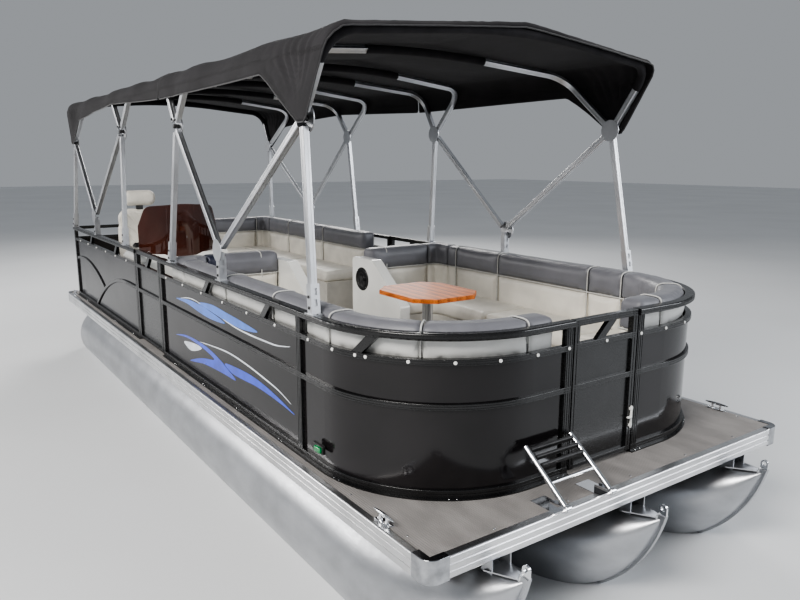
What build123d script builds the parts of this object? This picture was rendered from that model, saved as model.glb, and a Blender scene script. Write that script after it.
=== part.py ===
"""A pontoon boat: three tubes under a flat deck, a railed fence with gates, lounges, a helm,
two fabric tops on square-tube bows, and an outboard tilted up at the stern.

Millimetres. +X is forward, +Y is port, +Z is up. Z = 0 is the bottom of the keel strips, and
X = 0, Y = 0 is the middle of the whole boat's footprint.
"""

import os
from math import atan, cos, degrees, radians, sin, sqrt

from build123d import *

# Hull sizes
deck_length = 7000.0
beam = 2590.0
deck_front = 4219.0
deck_top = 830.0
deck_thickness = 24.0
rail_height = 100.0
rail_depth = 40.0
rail_groove = 8.0
cap_reach = 110.0
cap_round = 60.0
cap_lip = 4.0
tube_diameter = 635.0
tube_spacing = 900.0
tube_aft_inset = 160.0
nose_radius = 920.0
nose_reach = 155.0
nose_root_inset = 740.0
keel_strip_height = 14.0
keel_strip_width = 26.0
keel_strip_depth = 40.0
eye_radius = 12.0
eye_thickness = 12.0
eye_height = 34.0
riser_foot = 240.0
riser_head = 150.0
beam_height = 102.0
beam_depth = 60.0
beam_wall = 6.0
beam_pitch = 610.0
first_beam_inset = 140.0
pod_length = 560.0
pod_half_width = 290.0
transom_thickness = 45.0
transom_height = 640.0
splash_height = 470.0

# Fence sizes
fence_inset = 80.0
fence_front_inset = 250.0
fence_aft_inset = 220.0
bow_corner = 720.0
stern_corner = 60.0
fence_width = 32.0
top_rail_width = 56.0
fence_height = 780.0
top_rail_height = 34.0
panel_top = 662.0
rail_band = 30.0
mid_rail_top = 455.0
bottom_rail_height = 44.0
flange_reach = 12.0
flange_height = 6.0
groove_height = 5.0
groove_depth = 2.5
panel_thickness = 3.0
panel_inset = 15.0
panel_play = 0.3
post_width = 46.0
gate_gap = 10.0
gate_lift = 20.0
stile_width = 34.0
bow_gate_width = 470.0
side_gate_width = 640.0
starboard_gate_aft = deck_front - 4200.0
port_gate_aft = deck_front - 3900.0
fore_post = deck_front - 1210.0
stern_post_inset = 80.0
spacer_width = 60.0
spacer_shift = 95.0
spacer_thickness = 24.0
spacer_insets = (1660.0, 2590.0, 4950.0, 5950.0)
hinge_offset = 8.0
knuckle_radius = 7.0
knuckle_height = 60.0
pin_radius = 4.0
pin_play = 0.3

# Lounge sizes, upward ones from the deck
seat_gap = 14.0
seat_depth = 600.0
seat_base_height = 330.0
toe_height = 70.0
toe_depth = 45.0
cushion_overhang = 20.0
seat_cushion_thickness = 110.0
seat_back_thickness = 150.0
seat_back_height = 805.0
soft_gap = 1.0
aisle_to_gate = 320.0
centre_aisle = 250.0
starboard_lounge_aft = deck_front - 3400.0
port_lounge_aft = deck_front - 3090.0
cross_seat_length = 640.0
lounge_corner = 170.0
aft_lounge_gap = 240.0
pod_panel = 90.0
speaker_radius = 96.0

# Table sizes
table_inset = 1720.0
table_length = 600.0
table_width = 520.0
table_corner = 110.0
table_height = 680.0
table_thickness = 28.0
table_post = 35.0

# Helm sizes
console_inset = 4290.0
console_length = 560.0
console_inner = 340.0
dash_height = 700.0
screen_thickness = 5.0
screen_height = 1140.0
screen_slot = 22.0
wheel_radius = 180.0
wheel_rake = 25.0
wheel_height = 655.0
wheel_side = 720.0
wheel_reach = 60.0
helm_seat_inset = 5500.0
helm_seat_side = 750.0
helm_seat_width = 500.0
helm_pedestal_height = 330.0

# Fabric top sizes, heights from the deck
top_tube = 38.0
tube_round = 5.0
flute_width = 9.0
flute_depth = 1.5
top_tuck = 49.0
roof_edge_height = 2125.0
roof_crown_height = 2230.0
roof_round = 165.0
canopy_round = 120.0
crown_ease = 500.0
canopy_thickness = 4.0
canopy_play = 0.5
knuckle_cut = 44.0
gusset_radius = 70.0
gusset_thickness = 6.0
channel_height = 150.0
channel_wall = 5.0
channel_play = 0.3
channel_plate = 6.0
yoke_height = 190.0

# Deck fittings
cleat_inset = 370.0
cleat_side = 45.0
cleat_length = 150.0
ladder_side = 402.0
ladder_width = 300.0
ladder_length = 330.0
ladder_lean = 37.0
ladder_rail_radius = 12.7
ladder_overhang = 26.0
ladder_pin_radius = 6.0
tread_depth = 34.0
tread_thickness = 16.0

# Outboard sizes, in its own frame: forward, port and up the leg from the tilt pivot
motor_tilt = 60.0
pivot_reach = 70.0
pivot_rise = 60.0
clamp_half = 110.0
clamp_thickness = 14.0
tilt_tube_radius = 30.0
shaft_radius = 14.0
shaft_play = 0.3
steer_offset = -50.0
swivel_radius = 32.0
swivel_top = 45.0
swivel_bottom = -290.0
leg_clearance = 10.0
cowl_base = 93.0
cowl_wall = 12.0
vent_plate_level = -600.0
prop_level = -800.0
prop_radius = 170.0
prop_hub_radius = 48.0
prop_hub_length = 130.0
prop_station = -206.0
prop_shaft_radius = 12.0

# What follows from the sizes
deck_aft = deck_front - deck_length
half_beam = beam / 2
tube_radius = tube_diameter / 2
tube_centre = keel_strip_height + tube_radius
tube_top = tube_centre + tube_radius
tube_aft = deck_aft + tube_aft_inset
deck_bottom = deck_top - deck_thickness
beam_bottom = deck_bottom - beam_height
rail_bottom = deck_top - rail_height
fence_front = deck_front - fence_front_inset
fence_aft = deck_aft + fence_aft_inset
fence_half = half_beam - fence_inset
stern_post = fence_aft + stern_post_inset
tube_sides = {"starboard": -tube_spacing, "centre": 0.0, "port": tube_spacing}
upright = (Align.CENTER, Align.CENTER, Align.MIN)
diagonal = sqrt(0.5)

os.makedirs("parts", exist_ok=True)


def save(part, label):
    part.label = label
    export_step(part, f"parts/{label}.step")


def box_at(x0, x1, y0, y1, z0, z1, mode=Mode.ADD):
    """A block between two corners."""
    with Locations(((x0 + x1) / 2, (y0 + y1) / 2, (z0 + z1) / 2)):
        Box(abs(x1 - x0), abs(y1 - y0), abs(z1 - z0), mode=mode)


def post_at(x, y, z, radius, height, mode=Mode.ADD):
    """An upright cylinder on its foot."""
    with Locations((x, y, z)):
        Cylinder(radius, height, align=upright, mode=mode)


# Pontoons
nose_root = deck_front - nose_root_inset
nose_tip = deck_front + nose_reach
skin_radius = nose_radius - keel_strip_height


def arc_height(x, radius):
    """Height at a station of an arc about the nose's centre, which lies over the root."""
    return nose_radius - sqrt(radius**2 - (x - nose_root) ** 2)


def nose_section(x, half_width, top, side_height):
    """Four arcs: a flat crown, and flanks that run down to the keel edge."""
    low = arc_height(x, skin_radius)
    with BuildSketch(Plane(origin=(x, 0, 0), x_dir=(0, 1, 0), z_dir=(1, 0, 0))) as section:
        with BuildLine():
            for side in (1, -1):
                swell = diagonal * half_width * side
                ThreePointArc(
                    (0, top),
                    (swell, side_height + diagonal * (top - side_height)),
                    (half_width * side, side_height),
                )
                ThreePointArc(
                    (half_width * side, side_height),
                    (swell, side_height - diagonal * (side_height - low)),
                    (0, low),
                )
        make_face()
    return section.sketch


# Nose stations: forward of the deck's edge, half width, crown and flank above the tube's
nose_stations = (
    (-330.0, 0.825 * tube_radius, 8.0, 60.0),
    (20.0, 0.372 * tube_radius, 24.0, 240.0),
    (nose_reach - 25.0, 12.0, 41.0, 350.0),
)
strip_end = arc_height(nose_tip, nose_radius)
beam_stations = [
    deck_front - first_beam_inset - n * beam_pitch
    for n in range(int((deck_length - 2 * first_beam_inset) // beam_pitch) + 1)
]
with BuildPart() as one_tube:
    with BuildSketch(Plane(origin=(tube_aft, 0, tube_centre), x_dir=(0, 1, 0), z_dir=(1, 0, 0))):
        Circle(tube_radius)
    extrude(amount=nose_root - tube_aft)
    loft([nose_section(nose_root, tube_radius, tube_top, tube_centre)] + [
        nose_section(deck_front + forward, half_width, tube_top + crown, tube_centre + flank)
        for forward, half_width, crown, flank in nose_stations
    ])
    for x in beam_stations:
        if tube_aft + beam_depth < x < nose_root + beam_pitch / 2:
            with BuildSketch(Plane(origin=(x - beam_depth / 2, 0, 0), x_dir=(0, 1, 0), z_dir=(1, 0, 0))):
                with BuildLine():
                    Polyline(
                        (-riser_foot / 2, tube_top - 30), (-riser_head / 2, beam_bottom),
                        (riser_head / 2, beam_bottom), (riser_foot / 2, tube_top - 30), close=True,
                    )
                make_face()
            extrude(amount=beam_depth)
    crown_plane = Plane(
        origin=(deck_front - 44, 0, tube_top + 20), x_dir=(1, 0, 0.12), z_dir=(-0.12, 0, 1)
    )
    with BuildSketch(crown_plane):
        with BuildLine():
            Polyline((0, -70), (nose_reach, -20), (nose_reach, 20), (0, 70), close=True)
        make_face()
    extrude(amount=6)
    for side in (1, -1):
        with BuildSketch(Plane.XZ.offset(-side * 52)):
            with BuildLine():
                Polyline(
                    (deck_front - 85, tube_top - 4), (deck_front - 8, tube_top + 12),
                    (deck_front - 8, rail_bottom), (deck_front - rail_depth, rail_bottom), close=True,
                )
            make_face()
        extrude(amount=3, both=True)

with BuildPart() as keel_strip:
    with BuildSketch(Plane.XZ):
        with BuildLine():
            back = nose_radius - keel_strip_depth
            Line((tube_aft + 40, 0), (nose_root, 0))
            ThreePointArc(
                (nose_root, 0),
                (nose_root + nose_radius * sin(radians(38)), nose_radius * (1 - cos(radians(38)))),
                (nose_tip, strip_end),
            )
            Line((nose_tip, strip_end), (nose_tip - keel_strip_depth, strip_end))
            ThreePointArc(
                (nose_tip - keel_strip_depth, strip_end),
                (nose_root + back * sin(radians(38)), nose_radius - back * cos(radians(38))),
                (nose_root, keel_strip_depth),
            )
            Line((nose_root, keel_strip_depth), (tube_aft + 40, keel_strip_depth))
            Line((tube_aft + 40, keel_strip_depth), (tube_aft + 40, 0))
        make_face()
    extrude(amount=keel_strip_width / 2, both=True)

for name, side in tube_sides.items():
    with BuildPart() as pontoon:
        with Locations((0, side, 0)):
            add(one_tube.part)
            add(keel_strip.part)
    save(pontoon.part, f"{name}_pontoon")

with BuildPart() as bow_eyes:
    for side in tube_sides.values():
        with BuildSketch(Plane.XZ.offset(-side)):
            with Locations((nose_tip - keel_strip_depth / 2, strip_end)):
                Rectangle(keel_strip_depth, eye_height, align=(Align.CENTER, Align.MIN))
            with Locations((nose_tip - keel_strip_depth / 2, strip_end + eye_height)):
                Circle(keel_strip_depth / 2)
                Circle(eye_radius, mode=Mode.SUBTRACT)
        extrude(amount=eye_thickness / 2, both=True)
save(bow_eyes.part, "bow_eyes")

# Deck on its channels
with BuildPart() as cross_beams:
    for x in beam_stations:
        with BuildSketch(Plane.XZ):
            with Locations((x, beam_bottom + beam_height / 2)):
                Rectangle(beam_depth, beam_height)
            with Locations((x - beam_wall, beam_bottom + beam_height / 2)):
                Rectangle(beam_depth, beam_height - 2 * beam_wall, mode=Mode.SUBTRACT)
        extrude(amount=half_beam - rail_depth, both=True)
save(cross_beams.part, "cross_beams")

with BuildPart() as deck:
    box_at(
        deck_aft + rail_depth, deck_front - rail_depth,
        -half_beam + rail_depth, half_beam - rail_depth,
        deck_bottom, deck_top,
    )
save(deck.part, "deck")


def edge_rail(start, outward, length, along):
    """A grooved edge extrusion from its outer mid line inwards."""
    with BuildSketch(Plane(origin=start, x_dir=outward, z_dir=along)) as section:
        with Locations((-rail_depth / 2, 0)):
            Rectangle(rail_depth, rail_height)
        fillet(section.vertices().group_by(Axis((0, 0, 0), outward))[-1], 10)
        for level in (-16, 16):
            with Locations((0, level)):
                Rectangle(rail_groove, rail_groove, mode=Mode.SUBTRACT)
    extrude(section.sketch, amount=length)


with BuildPart() as rub_rails:
    middle = deck_top - rail_height / 2
    for side in (1, -1):
        edge_rail(
            (deck_aft + cap_reach, side * half_beam, middle), (0, side, 0),
            deck_length - 2 * cap_reach, (1, 0, 0),
        )
    for x, outward in ((deck_front, 1), (deck_aft, -1)):
        edge_rail((x, -half_beam + cap_reach, middle), (outward, 0, 0), beam - 2 * cap_reach, (0, 1, 0))
save(rub_rails.part, "rub_rails")

with BuildPart() as corner_caps:
    for x, inward in ((deck_front, -1), (deck_aft, 1)):
        for side in (1, -1):
            with BuildSketch(Plane.XY.offset(rail_bottom - cap_lip)) as plan:
                with BuildLine():
                    FilletPolyline(
                        (x, side * (half_beam - cap_reach)), (x, side * half_beam),
                        (x + inward * cap_reach, side * half_beam), radius=cap_round,
                    )
                    Polyline(
                        (x + inward * cap_reach, side * half_beam),
                        (x + inward * cap_reach, side * (half_beam - rail_depth)),
                        (x + inward * rail_depth, side * (half_beam - rail_depth)),
                        (x + inward * rail_depth, side * (half_beam - cap_reach)),
                        (x, side * (half_beam - cap_reach)),
                    )
                make_face()
            extrude(amount=rail_height + 2 * cap_lip)
    fillet(corner_caps.edges().group_by(Axis.Z)[-1], 3)
    fillet(corner_caps.edges().group_by(Axis.Z)[0], 3)
save(corner_caps.part, "corner_caps")

pod_aft = deck_aft - pod_length
pod_fore = tube_aft - 2
with BuildPart() as motor_pod:
    with BuildSketch(Plane.XZ):
        with BuildLine():
            Polyline(
                (pod_aft, transom_height), (pod_aft + transom_thickness, transom_height),
                (pod_aft + transom_thickness, splash_height), (deck_aft - 40, splash_height),
                (deck_aft - 40, beam_bottom), (pod_fore, beam_bottom), (pod_fore, 60),
                (pod_aft + 40, 210), close=True,
            )
        make_face()
    extrude(amount=pod_half_width, both=True)
    with BuildSketch(Plane(origin=(pod_aft, 0, 0), x_dir=(0, 1, 0), z_dir=(1, 0, 0))):
        with BuildLine():
            Polyline(
                (-pod_half_width, deck_top), (-pod_half_width, 260), (-pod_half_width / 2, 60),
                (pod_half_width / 2, 60), (pod_half_width, 260), (pod_half_width, deck_top), close=True,
            )
        make_face()
    extrude(amount=pod_fore - pod_aft, mode=Mode.INTERSECT)
save(motor_pod.part, "motor_pod")


# Fence
half_gate = bow_gate_width / 2
starboard_gate = (starboard_gate_aft, starboard_gate_aft + side_gate_width)
port_gate = (port_gate_aft, port_gate_aft + side_gate_width)
panel_low = deck_top + bottom_rail_height
panel_high = deck_top + panel_top - rail_band
top_rail_low = deck_top + fence_height - top_rail_height
mid_level = deck_top + mid_rail_top - rail_band / 2
upper_level = deck_top + panel_top - rail_band / 2
top_level = deck_top + fence_height - top_rail_height / 2
side_line = fence_half - fence_width / 2
slot_middle = fence_width / 2 - panel_inset - panel_thickness / 2
slot_width = panel_thickness + 2 * panel_play
wave_width = fence_width - 2 * groove_depth


def fence_outline(inset):
    """The fence's plan, brought in by an inset."""
    with Locations(((fence_front + fence_aft) / 2, 0)):
        Rectangle(fence_front - fence_aft - 2 * inset, 2 * (fence_half - inset))


def fence_ring(z, height, inset, width):
    """A band of the fence's plan, from one inset to the next, raised from a height."""
    with BuildSketch(Plane.XY.offset(z)) as band:
        for start, kind in ((inset, Mode.ADD), (inset + width, Mode.SUBTRACT)):
            with BuildSketch(mode=Mode.PRIVATE) as outline:
                fence_outline(start)
                fillet(outline.vertices().group_by(Axis.X)[-1], bow_corner - start)
                fillet(outline.vertices().group_by(Axis.X)[0], stern_corner - start)
            add(outline.sketch, mode=kind)
    extrude(band.sketch, amount=height)


def fence_line(z, end_x=None):
    """A level line on the starboard side: from the bow gate aft, round to the stern gate or to a station."""
    bow, stern, post = fence_front - fence_width / 2, fence_aft + fence_width / 2, -half_gate - gate_gap
    turns = [bow_corner - fence_width / 2]
    points = [(bow, post, z), (bow, -side_line, z)]
    if end_x is None:
        points += [(stern, -side_line, z), (stern, post, z)]
        turns.append(stern_corner - fence_width / 2)
    else:
        points.append((end_x, -side_line, z))
    with BuildLine() as line:
        FilletPolyline(*points, radius=turns)
    return line.line


def straight_line(start, end):
    with BuildLine() as line:
        Line(start, end)
    return line.line


def stern_line_at(z):
    """A level line on the starboard side: from the stern gate round to the stern post."""
    stern = fence_aft + fence_width / 2
    with BuildLine() as line:
        FilletPolyline(
            (stern, -half_gate - gate_gap, z), (stern, -side_line, z), (stern_post, -side_line, z),
            radius=[stern_corner - fence_width / 2],
        )
    return line.line


def rail_along(line, width, height, rounding=3.0, flange=0.0, slot=0, grooved=True, mode=Mode.ADD):
    """A rail swept along a line, with grooves in its faces and a slot for the panel towards one side."""
    direction = line % 0
    level = Vector(0, 0, 1).cross(direction).normalized()
    with BuildSketch(Plane(origin=line @ 0, x_dir=level, z_dir=direction)) as section:
        Rectangle(width, height)
        fillet(section.vertices(), rounding)
        if flange:
            with Locations((0, -height / 2)):
                Rectangle(width + 2 * flange, flange_height, align=(Align.CENTER, Align.MIN))
        if grooved:
            with GridLocations(width, 2.4 * groove_height, 2, 2):
                Rectangle(2 * groove_depth, groove_height, mode=Mode.SUBTRACT)
        if slot:
            with Locations((slot * slot_middle, 0)):
                Rectangle(slot_width, 2 * height, mode=Mode.SUBTRACT)
    return sweep(section.sketch, path=line, mode=mode)


def fence_post(x, y, turn, outer, mode=Mode.ADD):
    """An upright with grooves in its outer and inner faces and a slot for the panel."""
    with BuildSketch(Plane.XY.offset(deck_top)) as section:
        with Locations(Location((x, y, 0), (0, 0, turn))):
            Rectangle(post_width, fence_width)
            with GridLocations(post_width / 3, fence_width, 3, 2):
                Rectangle(groove_height, 2 * groove_depth, mode=Mode.SUBTRACT)
            with Locations((0, outer * slot_middle)):
                Rectangle(2 * post_width, slot_width, mode=Mode.SUBTRACT)
    return extrude(section.sketch, amount=top_rail_low - deck_top + 1, mode=mode)


def spacer(origin, along, outward, mode=Mode.ADD):
    """A leaning spacer between the two upper rails."""
    with BuildSketch(Plane(origin=origin, x_dir=along, z_dir=outward)) as section:
        with BuildLine():
            half, low, high = spacer_width / 2, deck_top + panel_top - 4, top_rail_low + 4
            Polyline(
                (-half, low), (half, low), (half + spacer_shift, high), (spacer_shift - half, high),
                close=True,
            )
        make_face()
    return extrude(section.sketch, amount=spacer_thickness / 2, both=True, mode=mode)


def keep_side(side, gate):
    """Keep one side's panels and open its side gate and both end gates."""
    wide = 3 * beam
    box_at(-wide, wide, 0, -side * wide, -wide, wide, mode=Mode.SUBTRACT)
    box_at(-wide, wide, -half_gate - gate_gap, half_gate + gate_gap, -wide, wide, mode=Mode.SUBTRACT)
    box_at(gate[0] - gate_gap, gate[1] + gate_gap, 0, side * wide, -wide, wide, mode=Mode.SUBTRACT)


def wave_lines():
    """The two curved rails at the stern quarter: one falls from the post, one rises to the mid rail."""
    foot = (deck_front - 5840.0, -side_line, panel_low - 4)
    with BuildLine() as rising:
        ThreePointArc(
            foot, (deck_front - 5370.0, -side_line, mid_level - 150), (deck_front - 4600.0, -side_line, mid_level)
        )
    with BuildLine() as falling:
        ThreePointArc(
            (stern_post, -side_line, mid_level - 10), (deck_front - 6060.0, -side_line, mid_level),
            (deck_front - 5470.0, -side_line, mid_level - 180),
        )
    return rising.line, falling.line


def side_rails():
    """The starboard side's rails, posts and spacers, before its side gate is let in."""
    bow_end, stern_end = fence_front - fence_width / 2, fence_aft + fence_width / 2
    kept = Mode.PRIVATE
    rising, falling = wave_lines()
    pieces = [
        rail_along(
            fence_line(deck_top + bottom_rail_height / 2), fence_width, bottom_rail_height,
            flange=flange_reach, mode=kept,
        ),
        rail_along(fence_line(upper_level), fence_width, rail_band, mode=kept),
        rail_along(fence_line(top_level), top_rail_width, top_rail_height, 9.0, mode=kept),
        rail_along(fence_line(mid_level, (rising @ 1).X), fence_width, rail_band, slot=1, mode=kept),
        rail_along(rising, wave_width, rail_band, slot=-1, grooved=False, mode=kept),
        rail_along(falling, wave_width, rail_band, slot=-1, grooved=False, mode=kept),
        rail_along(stern_line_at(mid_level), fence_width, rail_band, slot=-1, mode=kept),
    ]
    for x in (fore_post, stern_post):
        pieces.append(fence_post(x, -side_line, 0, -1, kept))
    for x, outer in ((bow_end, -1), (stern_end, 1)):
        pieces.append(fence_post(x, -half_gate - gate_gap - post_width / 2, 90, outer, kept))
    for inset in spacer_insets:
        pieces.append(spacer((deck_front - inset, -side_line, 0), (1, 0, 0), (0, -1, 0), kept))
    turn = radians(-70)
    around = Vector(cos(turn), sin(turn))
    centre = Vector(fence_front - bow_corner, -(fence_half - bow_corner))
    pieces.append(
        spacer(centre + around * (bow_corner - fence_width / 2), (-sin(turn), cos(turn), 0), around, kept)
    )
    add(pieces)


def gate_leaf(start, end):
    """A gate between two points: rails and stiles round a thin panel."""
    along = (end - start).normalized()
    rails = (
        (deck_top + gate_lift + (bottom_rail_height - gate_lift) / 2, fence_width, bottom_rail_height - gate_lift),
        (mid_level, fence_width, rail_band),
        (upper_level, fence_width, rail_band),
        (top_level, fence_width, top_rail_height),
    )
    for level, width, height in rails:
        rail_along(straight_line(start + Vector(0, 0, level), end + Vector(0, 0, level)), width, height)
    across = Vector(0, 0, 1).cross(along)
    for corner, inward in ((start, along), (end, along * -1)):
        with BuildSketch(Plane(origin=corner + Vector(0, 0, deck_top + gate_lift), x_dir=inward)) as stile:
            with Locations((stile_width / 2, 0)):
                Rectangle(stile_width, fence_width)
                with GridLocations(0, fence_width, 1, 2):
                    Rectangle(groove_height, 2 * groove_depth, mode=Mode.SUBTRACT)
        extrude(stile.sketch, amount=fence_height - gate_lift - 2)
    with BuildSketch(Plane(origin=start, x_dir=along, z_dir=across * -1)) as sheet:
        width = (end - start).length
        with Locations((width / 2, (panel_low + panel_high) / 2)):
            Rectangle(width - stile_width, panel_high - panel_low + 10)
    extrude(sheet.sketch, amount=panel_thickness / 2, both=True)
    middle = (start + end) * 0.5 - along * (spacer_shift / 2)
    spacer(middle, along, across * -1)


def hinge_heights():
    return (deck_top + 110, deck_top + 560)


def leaf_hinge(x, y, to_leaf, inward):
    """The gate's half of its hinges: knuckles on tabs along its inner face."""
    for z in hinge_heights():
        post_at(x, y, z, knuckle_radius, knuckle_height)
        near = Vector(x, y) - inward * (hinge_offset + groove_depth)
        far = Vector(x, y) + to_leaf * stile_width - inward * 3
        box_at(near.X, far.X, near.Y, far.Y, z, z + knuckle_height)
        post_at(x, y, z, pin_radius + pin_play, knuckle_height, mode=Mode.SUBTRACT)


def post_hinge(x, y, to_leaf, inward):
    """The post's half: a pin held between two arms."""
    for z in hinge_heights():
        post_at(x, y, z - 12, pin_radius, knuckle_height + 24)
        near = Vector(x, y) + inward * 5
        far = Vector(x, y) - to_leaf * 30 - inward * (hinge_offset + groove_depth)
        for low in (z - 12, z + knuckle_height + 2):
            box_at(near.X, far.X, near.Y, far.Y, low, low + 10)


gate_hinges = {
    "bow_gate": (
        fence_front - fence_width - hinge_offset, half_gate + gate_gap / 2, Vector(0, -1), Vector(-1, 0)
    ),
    "stern_gate": (
        fence_aft + fence_width + hinge_offset, -half_gate - gate_gap / 2, Vector(0, 1), Vector(1, 0)
    ),
    "starboard_gate": (
        starboard_gate[1] + gate_gap / 2, -fence_half + fence_width + hinge_offset, Vector(-1, 0), Vector(0, 1)
    ),
    "port_gate": (
        port_gate[1] + gate_gap / 2, fence_half - fence_width - hinge_offset, Vector(-1, 0), Vector(0, -1)
    ),
}
bow_line, stern_line = fence_front - fence_width / 2, fence_aft + fence_width / 2
gates = (
    ("bow_gate", Vector(bow_line, -half_gate), Vector(bow_line, half_gate)),
    ("stern_gate", Vector(stern_line, -half_gate), Vector(stern_line, half_gate)),
    ("starboard_gate", Vector(starboard_gate[0], -side_line), Vector(starboard_gate[1], -side_line)),
    ("port_gate", Vector(port_gate[0], side_line), Vector(port_gate[1], side_line)),
)
for name, start, end in gates:
    with BuildPart() as leaf:
        gate_leaf(start, end)
        leaf_hinge(*gate_hinges[name])
    save(leaf.part, name)

side_hinges = {"starboard": ("stern_gate", "starboard_gate"), "port": ("bow_gate", "port_gate")}
with BuildPart() as rails:
    side_rails()
for name, side, gate in (("starboard", -1, starboard_gate), ("port", 1, port_gate)):
    gate_fore, gate_aft = gate[1] + gate_gap, gate[0] - gate_gap
    with BuildPart() as fittings:
        for x in (gate_fore + post_width / 2, gate_aft - post_width / 2):
            fence_post(x, side * side_line, 0, side)
        for hinged in side_hinges[name]:
            post_hinge(*gate_hinges[hinged])
    with BuildPart() as frame:
        add(rails.part if side < 0 else rails.part.mirror(Plane.XZ))
        box_at(gate_aft, gate_fore, side * fence_half / 2, side * beam, deck_top, 2 * deck_top, Mode.SUBTRACT)
        add(fittings.part)
    save(frame.part, f"{name}_fence_frame")
    with BuildPart() as panels:
        fence_ring(panel_low, panel_high - panel_low, panel_inset, panel_thickness)
        keep_side(side, gate)
    save(panels.part, f"{name}_fence_panels")


# Lounges
seat_outer = fence_width + seat_gap
seat_inner = fence_half - seat_outer - seat_depth
seat_level = deck_top + seat_base_height
lounge_aft = {"starboard": starboard_lounge_aft, "port": port_lounge_aft}
front_seat_aft = fence_front - seat_outer - 560.0
corner_room = min(lounge_corner, 0.6 * (seat_inner - aisle_to_gate))


def bow_seat_plan(side, outer, inner_shift, aft):
    """A bow lounge's plan: across the boat at its aft end, along the side, round to the gate."""
    y_in, x_cross = seat_inner + inner_shift, aft + cross_seat_length - inner_shift
    with BuildSketch(mode=Mode.PRIVATE) as room:
        fence_outline(outer)
        fillet(room.vertices().group_by(Axis.X)[-1], bow_corner - outer)
    with BuildSketch(mode=Mode.PRIVATE) as kept:
        with BuildLine():
            Polyline(
                (aft, side * (centre_aisle + pod_panel)), (x_cross, side * (centre_aisle + pod_panel)),
                (x_cross, side * y_in), (front_seat_aft + inner_shift, side * y_in),
                (front_seat_aft + inner_shift, side * aisle_to_gate), (fence_front, side * aisle_to_gate),
                (fence_front, side * half_beam), (aft, side * half_beam), close=True,
            )
        make_face()
        for x in (front_seat_aft + inner_shift, x_cross):
            fillet(kept.vertices().sort_by_distance((x, side * y_in))[0], corner_room)
    add(room.sketch)
    add(kept.sketch, mode=Mode.INTERSECT)


def back_keep(side, aft, reach):
    """The strip that a lounge's back leaves free: inboard of it and forward of its aft end."""
    with BuildSketch(mode=Mode.PRIVATE) as room:
        fence_outline(seat_outer + reach)
        fillet(room.vertices().group_by(Axis.X)[-1], bow_corner - seat_outer - reach)
    with BuildSketch(mode=Mode.PRIVATE) as kept:
        with BuildLine():
            Polyline(
                (aft + reach, 0), (fence_front, 0), (fence_front, side * half_beam),
                (aft + reach, side * half_beam), close=True,
            )
        make_face()
    add(room.sketch)
    add(kept.sketch, mode=Mode.INTERSECT)


for name, side in (("starboard", -1), ("port", 1)):
    aft = lounge_aft[name]
    with BuildPart() as base:
        for low, tall, inset in ((0.0, toe_height, cushion_overhang + toe_depth),
                                 (toe_height, seat_base_height - toe_height, cushion_overhang)):
            with BuildSketch(Plane.XY.offset(deck_top + low)):
                bow_seat_plan(side, seat_outer, inset, aft)
            extrude(amount=tall)
    save(base.part, f"{name}_bow_seat_base")
    with BuildPart() as cushion:
        with BuildSketch(Plane.XY.offset(seat_level)):
            bow_seat_plan(side, seat_outer + seat_back_thickness + soft_gap, 0.0, aft)
        extrude(amount=seat_cushion_thickness)
        with BuildSketch(Plane.XY.offset(seat_level)):
            back_keep(side, aft, seat_back_thickness + soft_gap)
        extrude(amount=seat_cushion_thickness, mode=Mode.INTERSECT)
    save(cushion.part, f"{name}_bow_seat_cushion")
    with BuildPart() as back:
        with BuildSketch(Plane.XY.offset(seat_level)):
            bow_seat_plan(side, seat_outer, 0.0, aft)
        extrude(amount=seat_back_height - seat_base_height)
        with BuildSketch(Plane.XY.offset(seat_level)):
            back_keep(side, aft, seat_back_thickness)
        extrude(amount=seat_back_height, mode=Mode.SUBTRACT)
    save(back.part, f"{name}_bow_seat_back")

with BuildPart() as speaker_pods:
    for side in (-1, 1):
        aft = lounge_aft["port" if side > 0 else "starboard"]
        with BuildSketch(Plane.XZ.offset(-side * (centre_aisle + pod_panel))):
            with BuildLine() as outline:
                Polyline(
                    (aft, deck_top), (aft + cross_seat_length + 40, deck_top),
                    (aft + cross_seat_length + 60, seat_level + 90), (aft + 2 * seat_back_thickness, deck_top + 735),
                    (aft, deck_top + 735), close=True,
                )
            make_face()
            fillet(vertices().group_by(Axis.X)[-1], 40)
            fillet(vertices().group_by(Axis.Y)[-1], 35)
        extrude(amount=side * (pod_panel - soft_gap))
        with BuildSketch(Plane.XZ.offset(-side * centre_aisle)):
            with Locations((aft + seat_back_thickness, deck_top + 565)):
                Circle(speaker_radius - 8)
        extrude(amount=-side * 50, mode=Mode.SUBTRACT)
save(speaker_pods.part, "speaker_pods")

with BuildPart() as speakers:
    for side in (-1, 1):
        aft = lounge_aft["port" if side > 0 else "starboard"]
        centre = Vector(aft + seat_back_thickness, side * (centre_aisle + soft_gap), deck_top + 565)
        with BuildSketch(Plane(origin=centre, x_dir=(1, 0, 0), z_dir=(0, 0, 1))) as half:
            with BuildLine():
                Polyline(
                    (0, side * 26), (0, side * 8), (22, side * 16), (26, side * 24), (74, side * 4),
                    (82, -side * 6), (speaker_radius - 4, -side * 6), (speaker_radius, -side * 2),
                    (speaker_radius, 0), (speaker_radius - 10, 0), (speaker_radius - 10, side * 26), close=True,
                )
            make_face()
        revolve(axis=Axis(centre, (0, 1, 0)))
save(speakers.part, "speakers")

aft_seat_fore = port_gate[0] - aft_lounge_gap
aft_seat_aft = fence_aft + seat_outer
stern_seat_inner = half_gate + 110.0


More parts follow.
